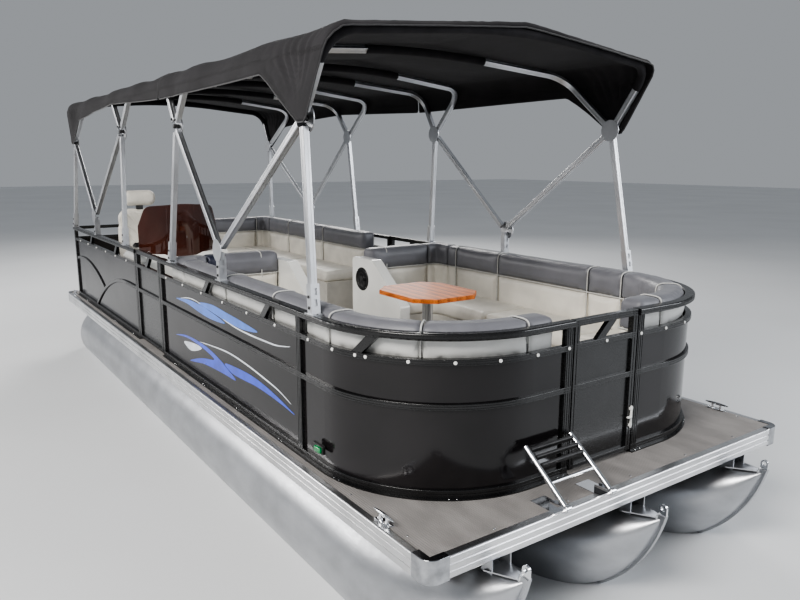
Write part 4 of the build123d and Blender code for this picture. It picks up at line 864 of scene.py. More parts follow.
ROOF_HALF, ROOF_EDGE, ROOF_CROWN, ROOF_CORNER = 1.1695, 2.1255, 2.2305, 0.120
ROOF_SLOPE = (ROOF_CROWN - ROOF_EDGE) / ROOF_HALF
ROOF_FLAT = ROOF_HALF - ROOF_CORNER * (1 - sin(ROOF_SLOPE))
ROOF_ARC = ROOF_CORNER * (pi / 2 - ROOF_SLOPE)
LIP = 0.026


def skirt(hem):
    """The upright height of the cloth between its shoulder and its hem."""
    return ROOF_CROWN - ROOF_SLOPE * ROOF_FLAT - ROOF_CORNER * cos(ROOF_SLOPE) - hem


def arch_point(across, hem):
    """A point over the roof at -1..1 of the way from one hem to the other, and its outward direction.

    Returns y, z over the deck and the two parts of the outward direction.
    """
    slope, flat, arc = ROOF_SLOPE, ROOF_FLAT, ROOF_ARC
    side = 1 if across >= 0 else -1
    run = abs(across) * (flat + arc + skirt(hem))
    if run <= flat:
        ease = 0.25 * slope
        lift = ROOF_CROWN - slope * (sqrt(run * run + ease * ease) - ease * 0.35) - 0.004
        return side * run, lift, side * slope * min(1.0, run / 0.5), 1.0
    if run <= flat + arc:
        turn = slope + (run - flat) / ROOF_CORNER
        y = flat + ROOF_CORNER * (sin(turn) - sin(slope))
        z = ROOF_CROWN - slope * flat - ROOF_CORNER * (cos(slope) - cos(turn))
        return side * min(y, ROOF_HALF), z, side * sin(turn), cos(turn)
    return side * ROOF_HALF, hem + skirt(hem) - (run - flat - arc), side * 1.0, 0.0


def along_line(points, height):
    """The station of a sloping line through (station, height) points at a height."""
    for (x0, z0), (x1, z1) in zip(points, points[1:]):
        if (z0 - height) * (z1 - height) <= 0 and z0 != z1:
            return x0 + (x1 - x0) * (height - z0) / (z1 - z0)
    return points[0][0] if abs(points[0][1] - height) < abs(points[-1][1] - height) else points[-1][0]


def bow_station(joint, lean, height):
    """Where a leaning bow stands at a height."""
    return joint[0] + lean * (height - joint[1])


def hem_height(hem, station):
    for (x0, z0), (x1, z1) in zip(hem, hem[1:]):
        if x0 >= station >= x1:
            return z0 + (z1 - z0) * (x0 - station) / max(x0 - x1, 1e-6)
    return hem[0][1] if station > hem[0][0] else hem[-1][1]


def lipped(edge, fore, station):
    """Whether a place lies by an outer edge of the tops, where the cloth turns down over its bow."""
    return edge < 0.022 and (abs(fore - station) < 0.022 and fore > -2.0 or station < -6.0)


def bow_line(joint, lean, reach):
    """The middle line of a bow's tube across the roof, as far as a distance from its crown, or to its legs."""
    half, tube, ease = 1.150, 0.019, 0.5
    rise = sqrt(1 + lean * lean)
    lift = tube * (1 + abs(lean)) / rise
    edge, crown = [(level - lift - joint[1]) * rise for level in (2.125, 2.230)]
    turn, slope = 0.165 * max(1.0, rise / 1.5) ** 2, atan2(crown - edge, half)
    bend = pi / 2 - slope
    shoulder = (half - turn, edge - turn * tan(bend / 2))
    plan = [(half, (1.97 - joint[1]) * rise), (half, shoulder[1])] if reach > half else []
    steps = [n / 12 * bend for n in range(1, 13)] if reach > half else []
    plan += [(shoulder[0] + turn * cos(a), shoulder[1] + turn * sin(a)) for a in steps]
    start = min(reach, plan[-1][0] - 0.02) if plan else reach
    for n in range(13):
        y = start * (1 - n / 12)
        plan.append((y, crown - tan(slope) * (y if y > ease else y * y / (2 * ease) + ease / 2)))
    plan += [(-y, v) for y, v in plan[-2::-1]]
    return [at(joint[0] + lean * v / rise, y, joint[1] + v / rise) for y, v in plan]


def fabric_top(name, node, edges, bows, hem, corner, rows=150, columns=132):
    """One stretched roof of cloth over its bows, cut to its hem, with seams, sag and wrinkles."""
    low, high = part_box(node)
    grid = bmesh.new()
    bmesh.ops.create_grid(grid, x_segments=columns, y_segments=rows, size=0.5)
    layer = grid.loops.layers.uv.new("cloth")
    place = {}
    fore_edge, aft_edge = edges
    for vertex in grid.verts:
        across, down = vertex.co.x * 2, 0.5 - vertex.co.y
        station = along_line(fore_edge, ROOF_CROWN)
        for _ in range(4):
            hem_z = hem_height(hem, station)
            y, z, out_y, out_z = arch_point(across, hem_z)
            fore, aft = along_line(fore_edge, z), along_line(aft_edge, z)
            station = fore + (aft - fore) * down
        near = min((abs(station - bow_station(joint, lean, z)) for joint, lean in bows), default=1.0)
        edge = min(abs(station - fore), abs(station - aft))
        rest = min(near, edge + 0.02)
        free = max(0.0, rest - 0.04)
        sag = 0.010 * (1 - 1 / (1 + (free / 0.16) ** 2))
        wave = noise.noise(Vector((station * 2.1, y * 2.1, z * 2.1))) * 0.012 * min(1.0, free / 0.12)
        pucker = noise.noise(Vector((station * 5, y * 26, z * 26))) * 0.0022 * max(0.0, 1 - near / 0.14)
        groove = 0.0022 if abs(near - 0.050) < 0.006 else 0.0
        groove += 0.0020 if abs(z - hem_z - 0.034) < 0.007 and out_z < 0.5 else 0.0
        lift = 0.0060 - sag + wave + pucker - groove
        spread, fan = hypot(station - corner[0], z - corner[1]), atan2(z - corner[1], station - corner[0])
        gather = max(0.0, 1 - abs(spread - 0.30) / 0.28) * min(1.0, free / 0.05)
        lift += gather * 0.0085 * sin(30 * fan + 4 * noise.noise(Vector((fan * 3, spread * 4, 0)))) * (out_y * out_y)
        lip = LIP * max(0.0, 1 - (edge / 0.022) ** 2) * out_z if lipped(edge, fore, station) else 0.0
        point = at(station, y + out_y * lift, z + out_z * lift - lip)
        point.x = min(max(point.x, low.x - 0.01), high.x + 0.01)
        point.z = max(point.z, low.z)
        place[vertex] = point
    for vertex, point in place.items():
        vertex.co = point
    for face in grid.faces:
        for loop in face.loops:
            spot = loop.vert.co
            run = spot.y if spot.z > DECK + ROOF_EDGE - 0.1 else spot.y + (DECK + ROOF_EDGE - spot.z) * (1 if spot.y > 0 else -1)
            loop[layer].uv = (spot.x, run)
    bmesh.ops.recalc_face_normals(grid, faces=grid.faces)
    centre = max(grid.faces, key=lambda f: f.calc_center_median().z)
    if centre.normal.z < 0:
        bmesh.ops.reverse_faces(grid, faces=grid.faces)
    area = sum(face.calc_area() for face in grid.faces)
    rim = [e for e in grid.edges if e.is_boundary]
    chain, left = [rim[0].verts[0], rim[0].verts[1]], set(rim[1:])
    while left:
        step = next((e for e in chain[-1].link_edges if e in left), None)
        if step is None:
            break
        left.discard(step)
        chain.append(step.other_vert(chain[-1]))
    line = [v.co.copy() for v in chain[:-1]][::2]
    mesh = bpy.data.meshes.new(name)
    for face in grid.faces:
        face.smooth = True
    grid.to_mesh(mesh)
    grid.free()
    cloth = bpy.data.objects.new(name, mesh)
    bpy.context.scene.collection.objects.link(cloth)
    mesh.materials.append(finish_of(canopy_cloth))
    thick = cloth.modifiers.new("Solidify", "SOLIDIFY")
    thick.thickness, thick.offset = 0.0018, -1.0
    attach(cloth, "hull")
    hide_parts(node)
    sleeves = Shape()
    for joint, lean in bows:
        outer = lean in (0.68, -0.45)
        sleeves.tube(bow_line(joint, lean, 1.2 if outer else 0.46), 0.0262, smooth=False, sides=4)
    pockets = sleeves.done(f"{name}_pockets", "hull", finish_of(pocket_cloth), slot="canopy_cloth", crease=60)
    tape = Shape().tube(line, 0.0042, cyclic=True, smooth=False, sides=1)
    binding = tape.done(f"{name}_binding", "hull", finish_of(binding_tape), slot="canopy_cloth", crease=70)
    return cloth


def fabric_tops():
    fabric_top(
        "front_top_cloth", "front_canopy",
        (((-0.802, 2.290), (-1.160, 1.700)), ((-3.420, 2.290), (-3.420, 1.600))),
        (((-1.22, 1.72), 0.68), ((-1.22, 1.72), -1.19), ((-3.14, 1.75), 0.94), ((-3.14, 1.75), -0.60)),
        ((-0.835, 1.700), (-1.245, 1.700), (-1.650, 1.960), (-3.450, 1.950)), (-1.220, 1.690),
    )
    fabric_top(
        "rear_top_cloth", "rear_canopy",
        (((-3.440, 2.290), (-3.440, 1.600)), ((-6.905, 2.290), (-6.650, 1.685))),
        (((-4.63, 1.76), 1.20), ((-4.63, 1.76), -0.87), ((-6.60, 1.70), 1.70), ((-6.60, 1.70), -0.45)),
        ((-3.400, 1.950), (-4.830, 2.000), (-5.540, 1.970), (-6.210, 1.920), (-6.580, 1.685), (-6.950, 1.685)),
        (-6.600, 1.680),
    )


# Trim


GATES = {-1: (-4.200, -3.560), 1: (-3.900, -3.260)}
TUBES = (-0.900, 0.0, 0.900)


def fence_stations(pitch, start, end, side):
    """Distances along one side of the fence, leaving out its side gate."""
    count = int((end - start) / pitch)
    gate_near, gate_far = fence_run(GATES[side][1] + 0.03), fence_run(GATES[side][0] - 0.03)
    return [start + n * pitch for n in range(count + 1) if not gate_near < start + n * pitch < gate_far]


def snap(shape, place, out):
    """A snap button."""
    shape.turned(
        place, out,
        [(0.0085, -0.004), (0.0085, 0.0015), (0.0068, 0.0035), (0.0050, 0.0040), (0.0042, 0.0030), (0, 0.0030)], 14,
    )


def fence_trim():
    snaps, bolts = Shape(), Shape()
    for side in (-1, 1):
        pitch, corner = scene_sizes().button_pitch, fence_run(-BOW_CORNER)
        for distance in [0.272 + n * pitch * 0.55 for n in range(7)] + fence_stations(
            pitch, corner, fence_run(-6.62), side
        ):
            place, out = fence_walk(distance, side)
            snap(snaps, place + UP * (DECK + 0.647), out)
        for distance in fence_stations(0.60, 0.30, fence_run(-6.66), side):
            for shift in (-0.018, 0.018):
                place, out = fence_walk(distance + shift, side, -0.006)
                bolts.screw(place + UP * (DECK + 0.0058), UP, 0.0036, 0.003)
    snaps.done("fence_snaps", "hull", finish_of(white_plastic), slot="console_white")
    bolts.done("fence_bolts", "hull", finish_of(chrome), slot="bright_metal")
    for side, name, shade in ((-1, "starboard", (0.0, 0.22, 0.06)), (1, "port", (0.42, 0.01, 0.01))):
        light = Shape()
        light.block(at(-0.985, side * 1.226, 0.120), (0.100, 0.022, 0.046), bevel=0.006, segments=3)
        light.slot = 1
        light.block(at(-0.968, side * 1.241, 0.122), (0.060, 0.022, 0.032), bevel=0.008, segments=4)
        light.done(
            f"{name}_light", "hull", finish_of(black_plastic), finish_of(lens, f"{name.title()} lens", shade),
            slot="wheel_black",
        )
    latch = Shape()
    latch.rod(at(-0.243, 0.222, 0.146), at(-0.243, 0.222, 0.265), 0.0062, bevel=0.002)
    for level in (0.160, 0.250):
        latch.block(at(-0.246, 0.222, level), (0.012, 0.022, 0.014), bevel=0.002)
    latch.block(at(-0.242, 0.208, 0.205), (0.016, 0.030, 0.009), bevel=0.003)
    snap(latch, at(-0.250, 0, 0.647), Vector((1, 0, 0)))
    latch.done("bow_gate_latch", "bow_gate", finish_of(white_plastic), slot="console_white")


SWOOSHES = (
    ("deep_blue", "lower_sweep", (
        (-3.258, .232), (-3.054, .27), (-2.821, .282), (-2.587, .275), (-2.391, .248), (-2.245, .214), (-2.107, .171),
        (-2.288, .164), (-2.481, .156), (-2.69, .14), (-2.964, .099), (-2.706, .175), (-2.473, .218), (-2.591, .244),
        (-2.803, .259), (-3.032, .258),
    )),
    ("deep_blue", "lower_tail", (
        (-2.279, .239), (-2.063, .259), (-1.849, .265), (-1.652, .251), (-1.484, .228), (-1.295, .191), (-1.458, .204),
        (-1.626, .213), (-1.806, .216), (-2.001, .206), (-2.174, .204),
    )),
    ("white", "lower_patch", ((-3.075, .217), (-2.826, .25), (-2.707, .241), (-2.928, .18))),
    ("pale_blue", "upper_sweep", (
        (-3.207, .519), (-2.938, .55), (-2.715, .552), (-2.491, .539), (-2.248, .508), (-2.497, .49), (-2.723, .498),
        (-2.966, .518),
    )),
    ("pale_blue", "upper_tail", (
        (-2.736, .56), (-2.484, .591), (-2.239, .583), (-1.997, .573), (-1.746, .553), (-1.969, .525), (-2.209, .526),
        (-2.471, .542),
    )),
)
STREAKS = (
    ("lower_line", 0.0055, ((-2.733, .285), (-2.462, .31), (-2.196, .326), (-1.924, .317), (-1.678, .296), (-1.494, .275), (-1.337, .239))),
    ("upper_line", 0.0050, ((-2.282, .53), (-2.071, .515), (-1.857, .514), (-1.66, .52), (-1.491, .529), (-1.331, .557))),
    ("small_line", 0.0035, ((-3.105, .535), (-2.936, .562), (-2.8, .568), (-2.682, .561))),
)
FILMS = {"deep_blue": (0.003, 0.055, 0.62), "pale_blue": (0.030, 0.150, 0.60), "white": (0.70, 0.74, 0.80)}


def flowing(points, closed=True, steps=5):
    """A smooth line through points."""
    count = len(points)
    line = []
    for n in range(count if closed else count - 1):
        ring = [points[(n + k) % count] if closed else points[min(max(n + k, 0), count - 1)] for k in (-1, 0, 1, 2)]
        for step in range(steps):
            t = step / steps
            line.append(tuple(
                0.5 * (2 * b + (c - a) * t + (2 * a - 5 * b + 4 * c - d) * t * t + (3 * b - a - 3 * c + d) * t ** 3)
                for a, b, c, d in zip(*ring)
            ))
    return line if closed else [*line, points[-1]]


def streak_outline(points, half):
    """A line of a width, tapered to both ends, as an outline."""
    line = flowing(points, closed=False)
    upper, lower = [], []
    for n, (x, z) in enumerate(line):
        wide = half * sin(pi * (n + 0.15) / (len(line) - 0.7)) ** 0.5
        upper.append((x, z + wide))
        lower.append((x, z - wide))
    return upper + lower[::-1]


def stripes():
    for side, word in ((-1, "starboard"), (1, "port")):
        shapes = {key: Shape() for key in FILMS}
        for key, _, points in SWOOSHES:
            shapes[key].plate(
                [(-side * x, z) for x, z in flowing(points)], 0.0007, at(0, side * PANEL_FACE, 0),
                (-side, 0, 0), (0, side, 0), bevel=0,
            )
        for _, half, points in STREAKS:
            shapes["white"].plate(
                [(-side * x, z) for x, z in streak_outline(points, half)], 0.0009, at(0, side * PANEL_FACE, 0),
                (-side, 0, 0), (0, side, 0), bevel=0,
            )
        for key, shape in shapes.items():
            shape.done(
                f"{word}_{key}_stripes", "hull", finish_of(film, f"{key} film", FILMS[key]), slot="panel_black"
            )


def hull_trim():
    beads, screws, pads = Shape(), Shape(), Shape()
    rim = Vector((FRONT - 0.740, 0, 0.920))
    for y in TUBES:
        for side in (-1, 1):
            line, radii = [], []
            for n in range(150):
                turn = radians(2 + 74 * n / 149)
                line.append(rim + Vector((0.880 * sin(turn), y + side * 0.0125, -0.880 * cos(turn))))
                radii.append(1.0 + 0.22 * (n % 2) + 0.15 * noise.noise(Vector((n * 0.3, y, side))))
            beads.tube(line, 0.0048, smooth=False, radii=radii, sides=2)
    beads.done("nose_weld_beads", "hull", finish_of(bead_metal), slot="pontoon_metal", crease=60)
    pitch = scene_sizes().screw_pitch
    for n in range(-2, 3):
        screws.screw(at(-0.060, n * pitch, 0.0), UP, 0.0055)
    for side in (-1, 1):
        for n in range(15):
            screws.screw(at(-0.22 - n * pitch, side * (SIDE - 0.062), 0.0), UP, 0.0055)
        for station in (-0.370, -6.770):
            pads.block(at(station, side * 1.250, 0.003), (0.110, 0.034, 0.006), bevel=0.003)
            for shift in (-0.046, 0.046):
                pads.screw(at(station + shift, side * 1.250, 0.006), UP, 0.0050)
    screws.done("deck_screws", "hull", finish_of(chrome), slot="bright_metal")
    pads.done("cleat_pads", "hull", finish_of(chrome), slot="bright_metal")


def helm_trim():
    slope = Vector((-0.355, 0, 0.935)).normalized()
    dials, controls, chromes = Shape(), Shape(), Shape()
    for y, size in ((-0.600, 0.036), (-0.720, 0.048), (-0.840, 0.036)):
        centre = at(-4.690, y, 0.708)
        chromes.turned(
            centre, slope,
            [(size, -0.004), (size, 0.006), (size - 0.003, 0.010), (size - 0.007, 0.010), (size - 0.009, 0.004)],
        )
        dials.turned(centre, slope, [(size - 0.008, 0.002), (size - 0.008, 0.0045), (0, 0.005)])
        dials.slot = 1
        for tick in range(9):
            turn = radians(-120 + tick * 30)
            along = slope.cross(Vector((0, 1, 0)))
            mark = centre + (Vector((0, 1, 0)) * sin(turn) + along * -cos(turn)) * (size - 0.013) + slope * 0.0052
            dials.block(mark, (0.003, 0.003, 0.0008), slope.to_track_quat("Z", "Y").to_matrix(), bevel=0)
        dials.slot = 0
    tilt = slope.to_track_quat("Z", "Y").to_matrix()
    controls.block(at(-4.690, -0.455, 0.709), (0.105, 0.150, 0.008), tilt, bevel=0.003)
    for n in range(4):
        controls.block(at(-4.690, -0.505 + n * 0.034, 0.716), (0.038, 0.020, 0.012), tilt, bevel=0.003)
    controls.block(at(-4.675, -1.030, 0.740), (0.150, 0.078, 0.075), tilt, bevel=0.016, segments=4)
    controls.tube(
        [at(-4.680, -0.990, 0.762), at(-4.684, -0.972, 0.790), at(-4.705, -0.968, 0.850), at(-4.722, -0.968, 0.882)],
        0.008,
    )
    controls.turned(
        at(-4.720, -0.968, 0.872), (-0.4, 0, 0.9),
        [(0.009, -0.01), (0.019, 0.006), (0.022, 0.022), (0.017, 0.038), (0.006, 0.044), (0, 0.044)],
    )
    for y in (-0.430, -1.075):
        chromes.turned(
            at(-4.425, y, 0.7235), (0.0, 0, 1), [(0.036, -0.002), (0.044, 0.001), (0.044, 0.004), (0.040, 0.006), (0.036, 0.004)],
        )
    dials.done("helm_dials", "hull", finish_of(dial_face), finish_of(white_plastic), slot="wheel_black")
    controls.done("helm_controls", "hull", finish_of(black_plastic), slot="wheel_black")
    chromes.done("helm_bezels", "hull", finish_of(chrome), slot="bright_metal")
    spokes, screws = Shape(), Shape()
    for side, station in ((-1, -3.250), (1, -2.940)):
        hub = at(station, side * 0.2432, 0.565)
        for n in range(18):
            turn = Matrix.Rotation(radians(n * 20), 3, "Y")
            spokes.block(hub + turn @ Vector((0.055, 0, 0)), (0.066, 0.0030, 0.0026), turn, bevel=0)
        for size in (0.024, 0.052, 0.078):
            ring = [
                hub + Vector((size * cos(radians(a)), 0, size * sin(radians(a)))) for a in range(0, 360, 10)
            ]
            spokes.tube(ring, 0.0016, cyclic=True, smooth=False, sides=1)
        spokes.turned(hub, (0, -side, 0), [(0.024, -0.001), (0.022, 0.003), (0.010, 0.005), (0, 0.005)])
        for a in (45, 135, 225, 315):
            turn = Vector((cos(radians(a)), 0, sin(radians(a))))
            screws.screw(hub + turn * 0.0900 + Vector((0, side * 0.0018, 0)), (0, -side, 0), 0.0036, 0.002)
    spokes.done("speaker_grilles", "hull", finish_of(black_plastic), slot="wheel_black")
    for n in range(6):
        turn = radians(30 + n * 60)
        screws.screw(at(-1.720 + 0.132 * cos(turn), 0.132 * sin(turn), 0.010), UP, 0.006)
        screws.screw(at(-5.500 + 0.140 * cos(turn), -0.750 + 0.140 * sin(turn), 0.010), UP, 0.006)
    screws.done("pedestal_screws", "hull", finish_of(chrome), slot="bright_metal")


TOP_JOINTS = (
    ((-1.220, 1.720), (0.68, -1.19)), ((-3.140, 1.750), (0.94, -0.60)), ((-4.630, 1.760), (1.20, -0.87)),
    ((-6.600, 1.700), (1.70, -0.45)),
)
TOP_FEET = ((-1.060, -2.270), (-3.260, -2.270), (-4.560, -5.630), (-6.690, -5.630))


def top_trim():
    hubs, bolts = Shape(), Shape()
    for (station, level), leans in TOP_JOINTS:
        for side in (-1, 1):
            hubs.turned(
                at(station, side * 1.131, level), (0, side, 0),
                [(0, 0), (0.015, 0), (0.015, 0.0385), (0.012, 0.0405), (0.004, 0.0405), (0, 0.0395)],
            )
            for lean in leans:
                rise = sqrt(1 + lean * lean)
                if not -6.0 < station < -2.0:
                    continue
                bolts.turned(
                    at(station + lean / rise * 0.058, side * 1.1690, level + 0.058 / rise), (0, side, 0),
                    [(0.0105, -0.001), (0.0105, 0.0015), (0.0080, 0.0016), (0.0080, 0.0060), (0.0060, 0.0075), (0, 0.0075)],
                    12,
                )
    for ((station, level), _), feet in zip(TOP_JOINTS, TOP_FEET):
        for side in (-1, 1):
            foot, head = at(feet[0], side * 1.199, 0.780), at(station, side * 1.150, level)
            for start, end in ((foot, head), (at(feet[1], side * 1.199, 0.780), at(feet[1], side * 1.199, 0.970))):
                along = (end - start).normalized()
                for reach in (0.034, 0.088):
                    bolts.turned(
                        start + along * reach + Vector((0, side * 0.0238, 0)), (0, side, 0),
                        [(0.0085, -0.001), (0.0085, 0.0050), (0.0050, 0.0065), (0, 0.0065)], 6,
                    )
            for shift in (-0.036, 0.036):
                bolts.screw(at(feet[0] + shift, side * 1.199, 0.786), UP, 0.0045)
    hubs.done("top_hubs", "hull", finish_of(black_plastic), slot="wheel_black")
    bolts.done("top_bolts", "hull", finish_of(black_plastic), slot="wheel_black")


MOTOR_TILT = radians(60)
MOTOR_FORWARD = Vector((cos(MOTOR_TILT), 0, -sin(MOTOR_TILT)))
MOTOR_UP = Vector((sin(MOTOR_TILT), 0, cos(MOTOR_TILT)))


def leg(x, y, z):
    """A point in the outboard's own frame, from its tilt pivot."""
    return at(-7.630, y, -0.130) + MOTOR_FORWARD * x + MOTOR_UP * z


def motor_trim():
    seal = Shape()
    for level, radius in ((0.150, 0.0045), (0.158, 0.003)):
        for line in section_of("outboard_cowl", leg(0, 0, level), MOTOR_UP):
            if len(line) > 8 and max(abs(p.y) for p in line) > 0.18:
                seal.tube(line, radius, smooth=False, sides=1)
    seal.done("cowl_seal", "outboard", finish_of(black_rubber), slot="wheel_black", crease=60)
    vents = Shape()
    for n in range(5):
        for line in section_of("outboard_cowl", leg(0, 0, 0.400 + n * 0.018), MOTOR_UP):
            tail = min((p - leg(0, 0, 0)).dot(MOTOR_FORWARD) for p in line)
            near = [p for p in line if (p - leg(0, 0, 0)).dot(MOTOR_FORWARD) < tail + 0.10]
            if len(near) > 3 and len(line) > 8:
                near.sort(key=lambda p: p.y)
                vents.tube(near, 0.0040, smooth=False, sides=1)
    vents.done("cowl_vents", "outboard", finish_of(black_plastic), slot="wheel_black", crease=60)
    caps = Shape()
    for side in (-1, 1):
        caps.turned(
            leg(0, side * 0.1235, 0), (0, side, 0),
            [(0.022, -0.001), (0.022, 0.006), (0.016, 0.010), (0.006, 0.010), (0, 0.008)],
        )
    caps.done("tilt_caps", "hull", finish_of(chrome), slot="bright_metal")


# Stage


def photo_stage():
    eye = at(1.9576, -2.8005, 1.5163)
    right = Vector((0.57328747, 0.8193476, 0.00331407))
    up = Vector((-0.15920432, 0.10742385, 0.98138377))
    back = Vector((0.80373843, -0.56314263, 0.19202843))
    camera = bpy.data.objects.new("camera", bpy.data.cameras.new("camera"))
    camera.data.lens, camera.data.sensor_width = 31.95, 36.0
    camera.data.clip_start, camera.data.clip_end = 0.05, 200.0
    camera.matrix_world = Matrix((
        (right.x, up.x, back.x, eye.x), (right.y, up.y, back.y, eye.y), (right.z, up.z, back.z, eye.z), (0, 0, 0, 1),
    ))
    bpy.context.scene.collection.objects.link(camera)
    bpy.context.scene.camera = camera
    floor = bmesh.new()
    bmesh.ops.create_grid(floor, x_segments=4, y_segments=4, size=60.0)
    bmesh.ops.translate(floor, vec=Vector((0, 0, scene_sizes().waterline)), verts=floor.verts)
    mesh = bpy.data.meshes.new("floor")
    floor.to_mesh(mesh)
    floor.free()
    ground = bpy.data.objects.new("floor", mesh)
    bpy.context.scene.collection.objects.link(ground)
    paint = Finish("Pale floor", (0.72, 0.73, 0.74), 0.62)
    paint.tint(paint.mottle(3.0), 0.96, 1.02)
    mesh.materials.append(paint.material)
    lamps = (
        ("key", (5.5, -7.5, 7.5), (0.5, 0, 1.0), 5.0, 1050.0, (1.0, 0.97, 0.93)),
        ("fill", (9.0, 5.5, 4.5), (2.0, 0, 1.0), 5.0, 380.0, (0.93, 0.96, 1.0)),
        ("back", (-9.0, 6.0, 7.0), (-1.0, 0, 1.0), 5.0, 700.0, (1.0, 0.98, 0.95)),
        ("quarter", (-7.0, -8.0, 5.0), (-2.0, 0, 1.0), 4.0, 420.0, (1.0, 0.98, 0.96)),
    )
    for name, place, aim, size, power, colour in lamps:
        lamp = bpy.data.lights.new(name, "AREA")
        lamp.shape, lamp.size, lamp.size_y = "RECTANGLE", size, size * 0.7
        lamp.energy, lamp.color = power, colour
        holder = bpy.data.objects.new(name, lamp)
        holder.matrix_world = facing(place, Vector(place) - Vector(aim))
        bpy.context.scene.collection.objects.link(holder)
    world = bpy.data.worlds.new("studio")
    world.use_nodes = True
    ground = world.node_tree.nodes["Background"]
    ground.inputs["Color"].default_value = (0.86, 0.90, 0.95, 1)
    ground.inputs["Strength"].default_value = 0.34
    bpy.context.scene.world = world
    bpy.context.scene.view_settings.view_transform = "AgX"
    bpy.context.scene.view_settings.look = "AgX - Medium High Contrast"


NODE_FINISHES = (
    (hull_metal, ("starboard_pontoon", "centre_pontoon", "port_pontoon", "motor_pod")),
    (frame_metal, ("cross_beams",)),
    (rail_metal, ("rub_rails",)),
    (chrome, ("bow_eyes", "cleats", "boarding_ladder", "ladder_brackets")),
    (cap_chrome, ("corner_caps",)),
    (deck_vinyl, ("deck",)),
    (
        fence_paint,
        ("starboard_fence_frame", "port_fence_frame", "bow_gate", "stern_gate", "starboard_gate", "port_gate"),
    ),
    (panel_paint, ("starboard_fence_panels", "port_fence_panels")),
    (seat_plastic, ("starboard_bow_seat_base", "port_bow_seat_base", "aft_seat_base")),
    (cream_vinyl, ("helm_seat",)),
    (gel_coat, ("console", "speaker_pods")),
    (tinted_acrylic, ("windscreen",)),
    (black_plastic, ("speakers", "ladder_treads", "steering_wheel")),
    (varnished_wood, ("table_top",)),
    (
        tube_metal,
        (
            "table_pedestal", "helm_seat_pedestal", "front_top_bows", "rear_top_bows", "front_top_legs",
            "rear_top_legs", "top_mounts",
        ),
    ),
    (cast_metal, ("clamp_bracket", "swivel_bracket", "engine_block", "propeller")),
    (motor_paint, ("lower_unit", "outboard_cowl")),
)


def node_finishes():
    for maker, nodes in NODE_FINISHES:
        for node in nodes:
            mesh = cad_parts[node].data
            mesh.materials.clear()
            mesh.materials.append(finish_of(maker))


# Add-on


def colour(name, description, value):
    return bpy.props.FloatVectorProperty(
        name=name, description=description, default=value, size=3, min=0.0, max=1.0, subtype="COLOR"
    )


def length(name, description, value):
    return bpy.props.FloatProperty(name=name, description=description, default=value, unit="LENGTH")


class BoatFinish(bpy.types.PropertyGroup):
    """The boat's colours."""

    hull_metal: colour("Hull metal", "Bare metal of the tubes", (0.50, 0.51, 0.53))
    rail_metal: colour("Edge rail", "Bare metal of the deck's edge", (0.80, 0.80, 0.81))
    tube_metal: colour("Top tubes", "Metal of the tops' frames", (0.66, 0.67, 0.69))
    deck_vinyl: colour("Deck", "Ribbed covering of the deck", (0.210, 0.196, 0.188))
    fence_paint: colour("Fence", "Paint of the fence's rails", (0.006, 0.006, 0.0065))
    panel_paint: colour("Panels", "Paint of the fence's panels", (0.009, 0.0078, 0.0085))
    bolster_vinyl: colour("Bolsters", "Upper tier of the lounges' backs", (0.165, 0.167, 0.186))
    cushion_vinyl: colour("Cushions", "Seats and lower tier of the backs", (0.76, 0.73, 0.66))
    table_wood: colour("Table", "Varnished table top", (0.40, 0.12, 0.03))
    canopy_cloth: colour("Tops", "Cloth of the fabric tops", (0.017, 0.016, 0.018))
    motor_paint: colour("Motor", "Enamel of the outboard", (0.022, 0.024, 0.028))


class BoatSizes(bpy.types.PropertyGroup):
    """The stage's and trim's lengths."""

    waterline: length("Waterline", "Height of the water over the keels", 0.18)
    screw_pitch: length("Screw pitch", "Distance between the deck's edge screws", 0.45)
    button_pitch: length("Button pitch", "Distance between the fence's snap buttons", 0.38)


class BoatPiece:
    """What every piece's operator shares."""

    bl_options = {"REGISTER", "UNDO"}


class BOAT_OT_finishes(BoatPiece, bpy.types.Operator):
    """Give every bare CAD node its procedural finish"""

    bl_idname = "boat.finishes"
    bl_label = "Finishes"

    def execute(self, context):
        node_finishes()
        return {"FINISHED"}


class BOAT_OT_upholstery(BoatPiece, bpy.types.Operator):
    """Sew the lounges' cushions, bolsters and piping"""

    bl_idname = "boat.upholstery"
    bl_label = "Lounges"

    def execute(self, context):
        upholstery()
        return {"FINISHED"}


class BOAT_OT_helm_chair(BoatPiece, bpy.types.Operator):
    """Sew the helm seat"""

    bl_idname = "boat.helm_chair"
    bl_label = "Helm seat"

    def execute(self, context):
        helm_chair()
        return {"FINISHED"}


class BOAT_OT_tops(BoatPiece, bpy.types.Operator):
    """Stretch the two fabric tops over their bows"""

    bl_idname = "boat.tops"
    bl_label = "Fabric tops"

    def execute(self, context):
        fabric_tops()
        return {"FINISHED"}


class BOAT_OT_fence_trim(BoatPiece, bpy.types.Operator):
    """Put the snaps, bolts, lights, latches and stripes on the fence"""

    bl_idname = "boat.fence_trim"
    bl_label = "Fence trim"

    def execute(self, context):
        fence_trim()
        stripes()
        return {"FINISHED"}


class BOAT_OT_hull_trim(BoatPiece, bpy.types.Operator):
    """Weld the noses and fasten the deck's edge and cleats"""

    bl_idname = "boat.hull_trim"
    bl_label = "Hull trim"

    def execute(self, context):
        hull_trim()
        return {"FINISHED"}


class BOAT_OT_helm_trim(BoatPiece, bpy.types.Operator):
    """Fit the gauges, switches, throttle, speakers and table fittings"""

    bl_idname = "boat.helm_trim"
    bl_label = "Helm and table trim"

    def execute(self, context):
        helm_trim()
        return {"FINISHED"}


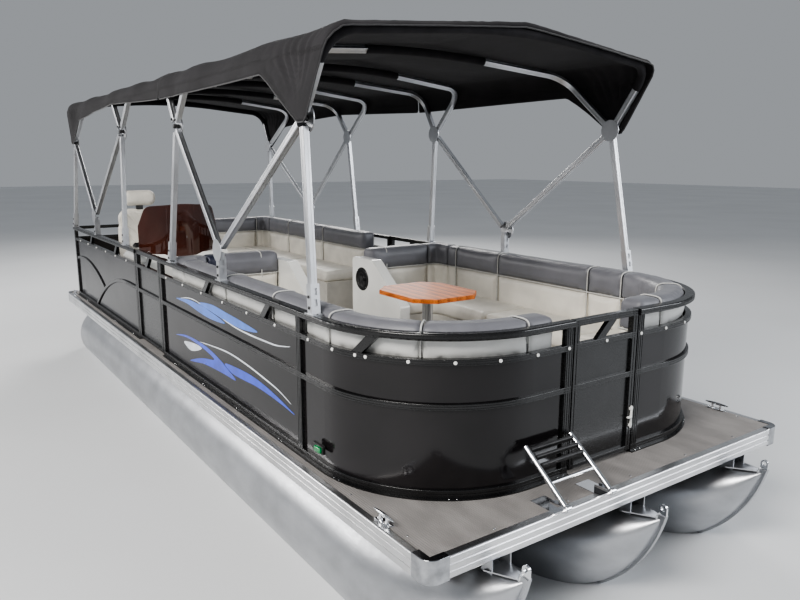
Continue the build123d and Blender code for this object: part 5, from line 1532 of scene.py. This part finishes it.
class BOAT_OT_top_trim(BoatPiece, bpy.types.Operator):
    """Bolt the tops' frames together"""

    bl_idname = "boat.top_trim"
    bl_label = "Tops' hardware"

    def execute(self, context):
        top_trim()
        return {"FINISHED"}


class BOAT_OT_motor_trim(BoatPiece, bpy.types.Operator):
    """Fit the outboard's band, vents and caps"""

    bl_idname = "boat.motor_trim"
    bl_label = "Outboard trim"

    def execute(self, context):
        motor_trim()
        return {"FINISHED"}


class BOAT_OT_stage(BoatPiece, bpy.types.Operator):
    """Set the camera, floor and lights"""

    bl_idname = "boat.stage"
    bl_label = "Stage"

    def execute(self, context):
        photo_stage()
        return {"FINISHED"}


STEPS = (
    BOAT_OT_finishes, BOAT_OT_upholstery, BOAT_OT_helm_chair, BOAT_OT_tops, BOAT_OT_fence_trim,
    BOAT_OT_hull_trim, BOAT_OT_helm_trim, BOAT_OT_top_trim, BOAT_OT_motor_trim, BOAT_OT_stage,
)


class BOAT_PT_pieces(bpy.types.Panel):
    """The boat's pieces and settings in the 3D view's sidebar."""

    bl_idname = "BOAT_PT_pieces"
    bl_label = "Pontoon boat"
    bl_space_type = "VIEW_3D"
    bl_region_type = "UI"
    bl_category = "Boat"

    def draw(self, context):
        for group in (context.scene.boat_finish, context.scene.boat_sizes):
            column = self.layout.column()
            for name in group.bl_rna.properties.keys():
                if name not in ("rna_type", "name"):
                    column.prop(group, name)
        for step in STEPS:
            self.layout.operator(step.bl_idname, text=step.bl_label)


CLASSES = (BoatFinish, BoatSizes, *STEPS, BOAT_PT_pieces)


def register():
    for cls in CLASSES:
        bpy.utils.register_class(cls)
    bpy.types.Scene.boat_finish = bpy.props.PointerProperty(type=BoatFinish)
    bpy.types.Scene.boat_sizes = bpy.props.PointerProperty(type=BoatSizes)


def unregister():
    del bpy.types.Scene.boat_sizes
    del bpy.types.Scene.boat_finish
    for cls in reversed(CLASSES):
        bpy.utils.unregister_class(cls)


def main():
    register()
    for step in STEPS:
        getattr(bpy.ops.boat, step.bl_idname.split(".")[1])()


if __name__ == "__main__":
    main()
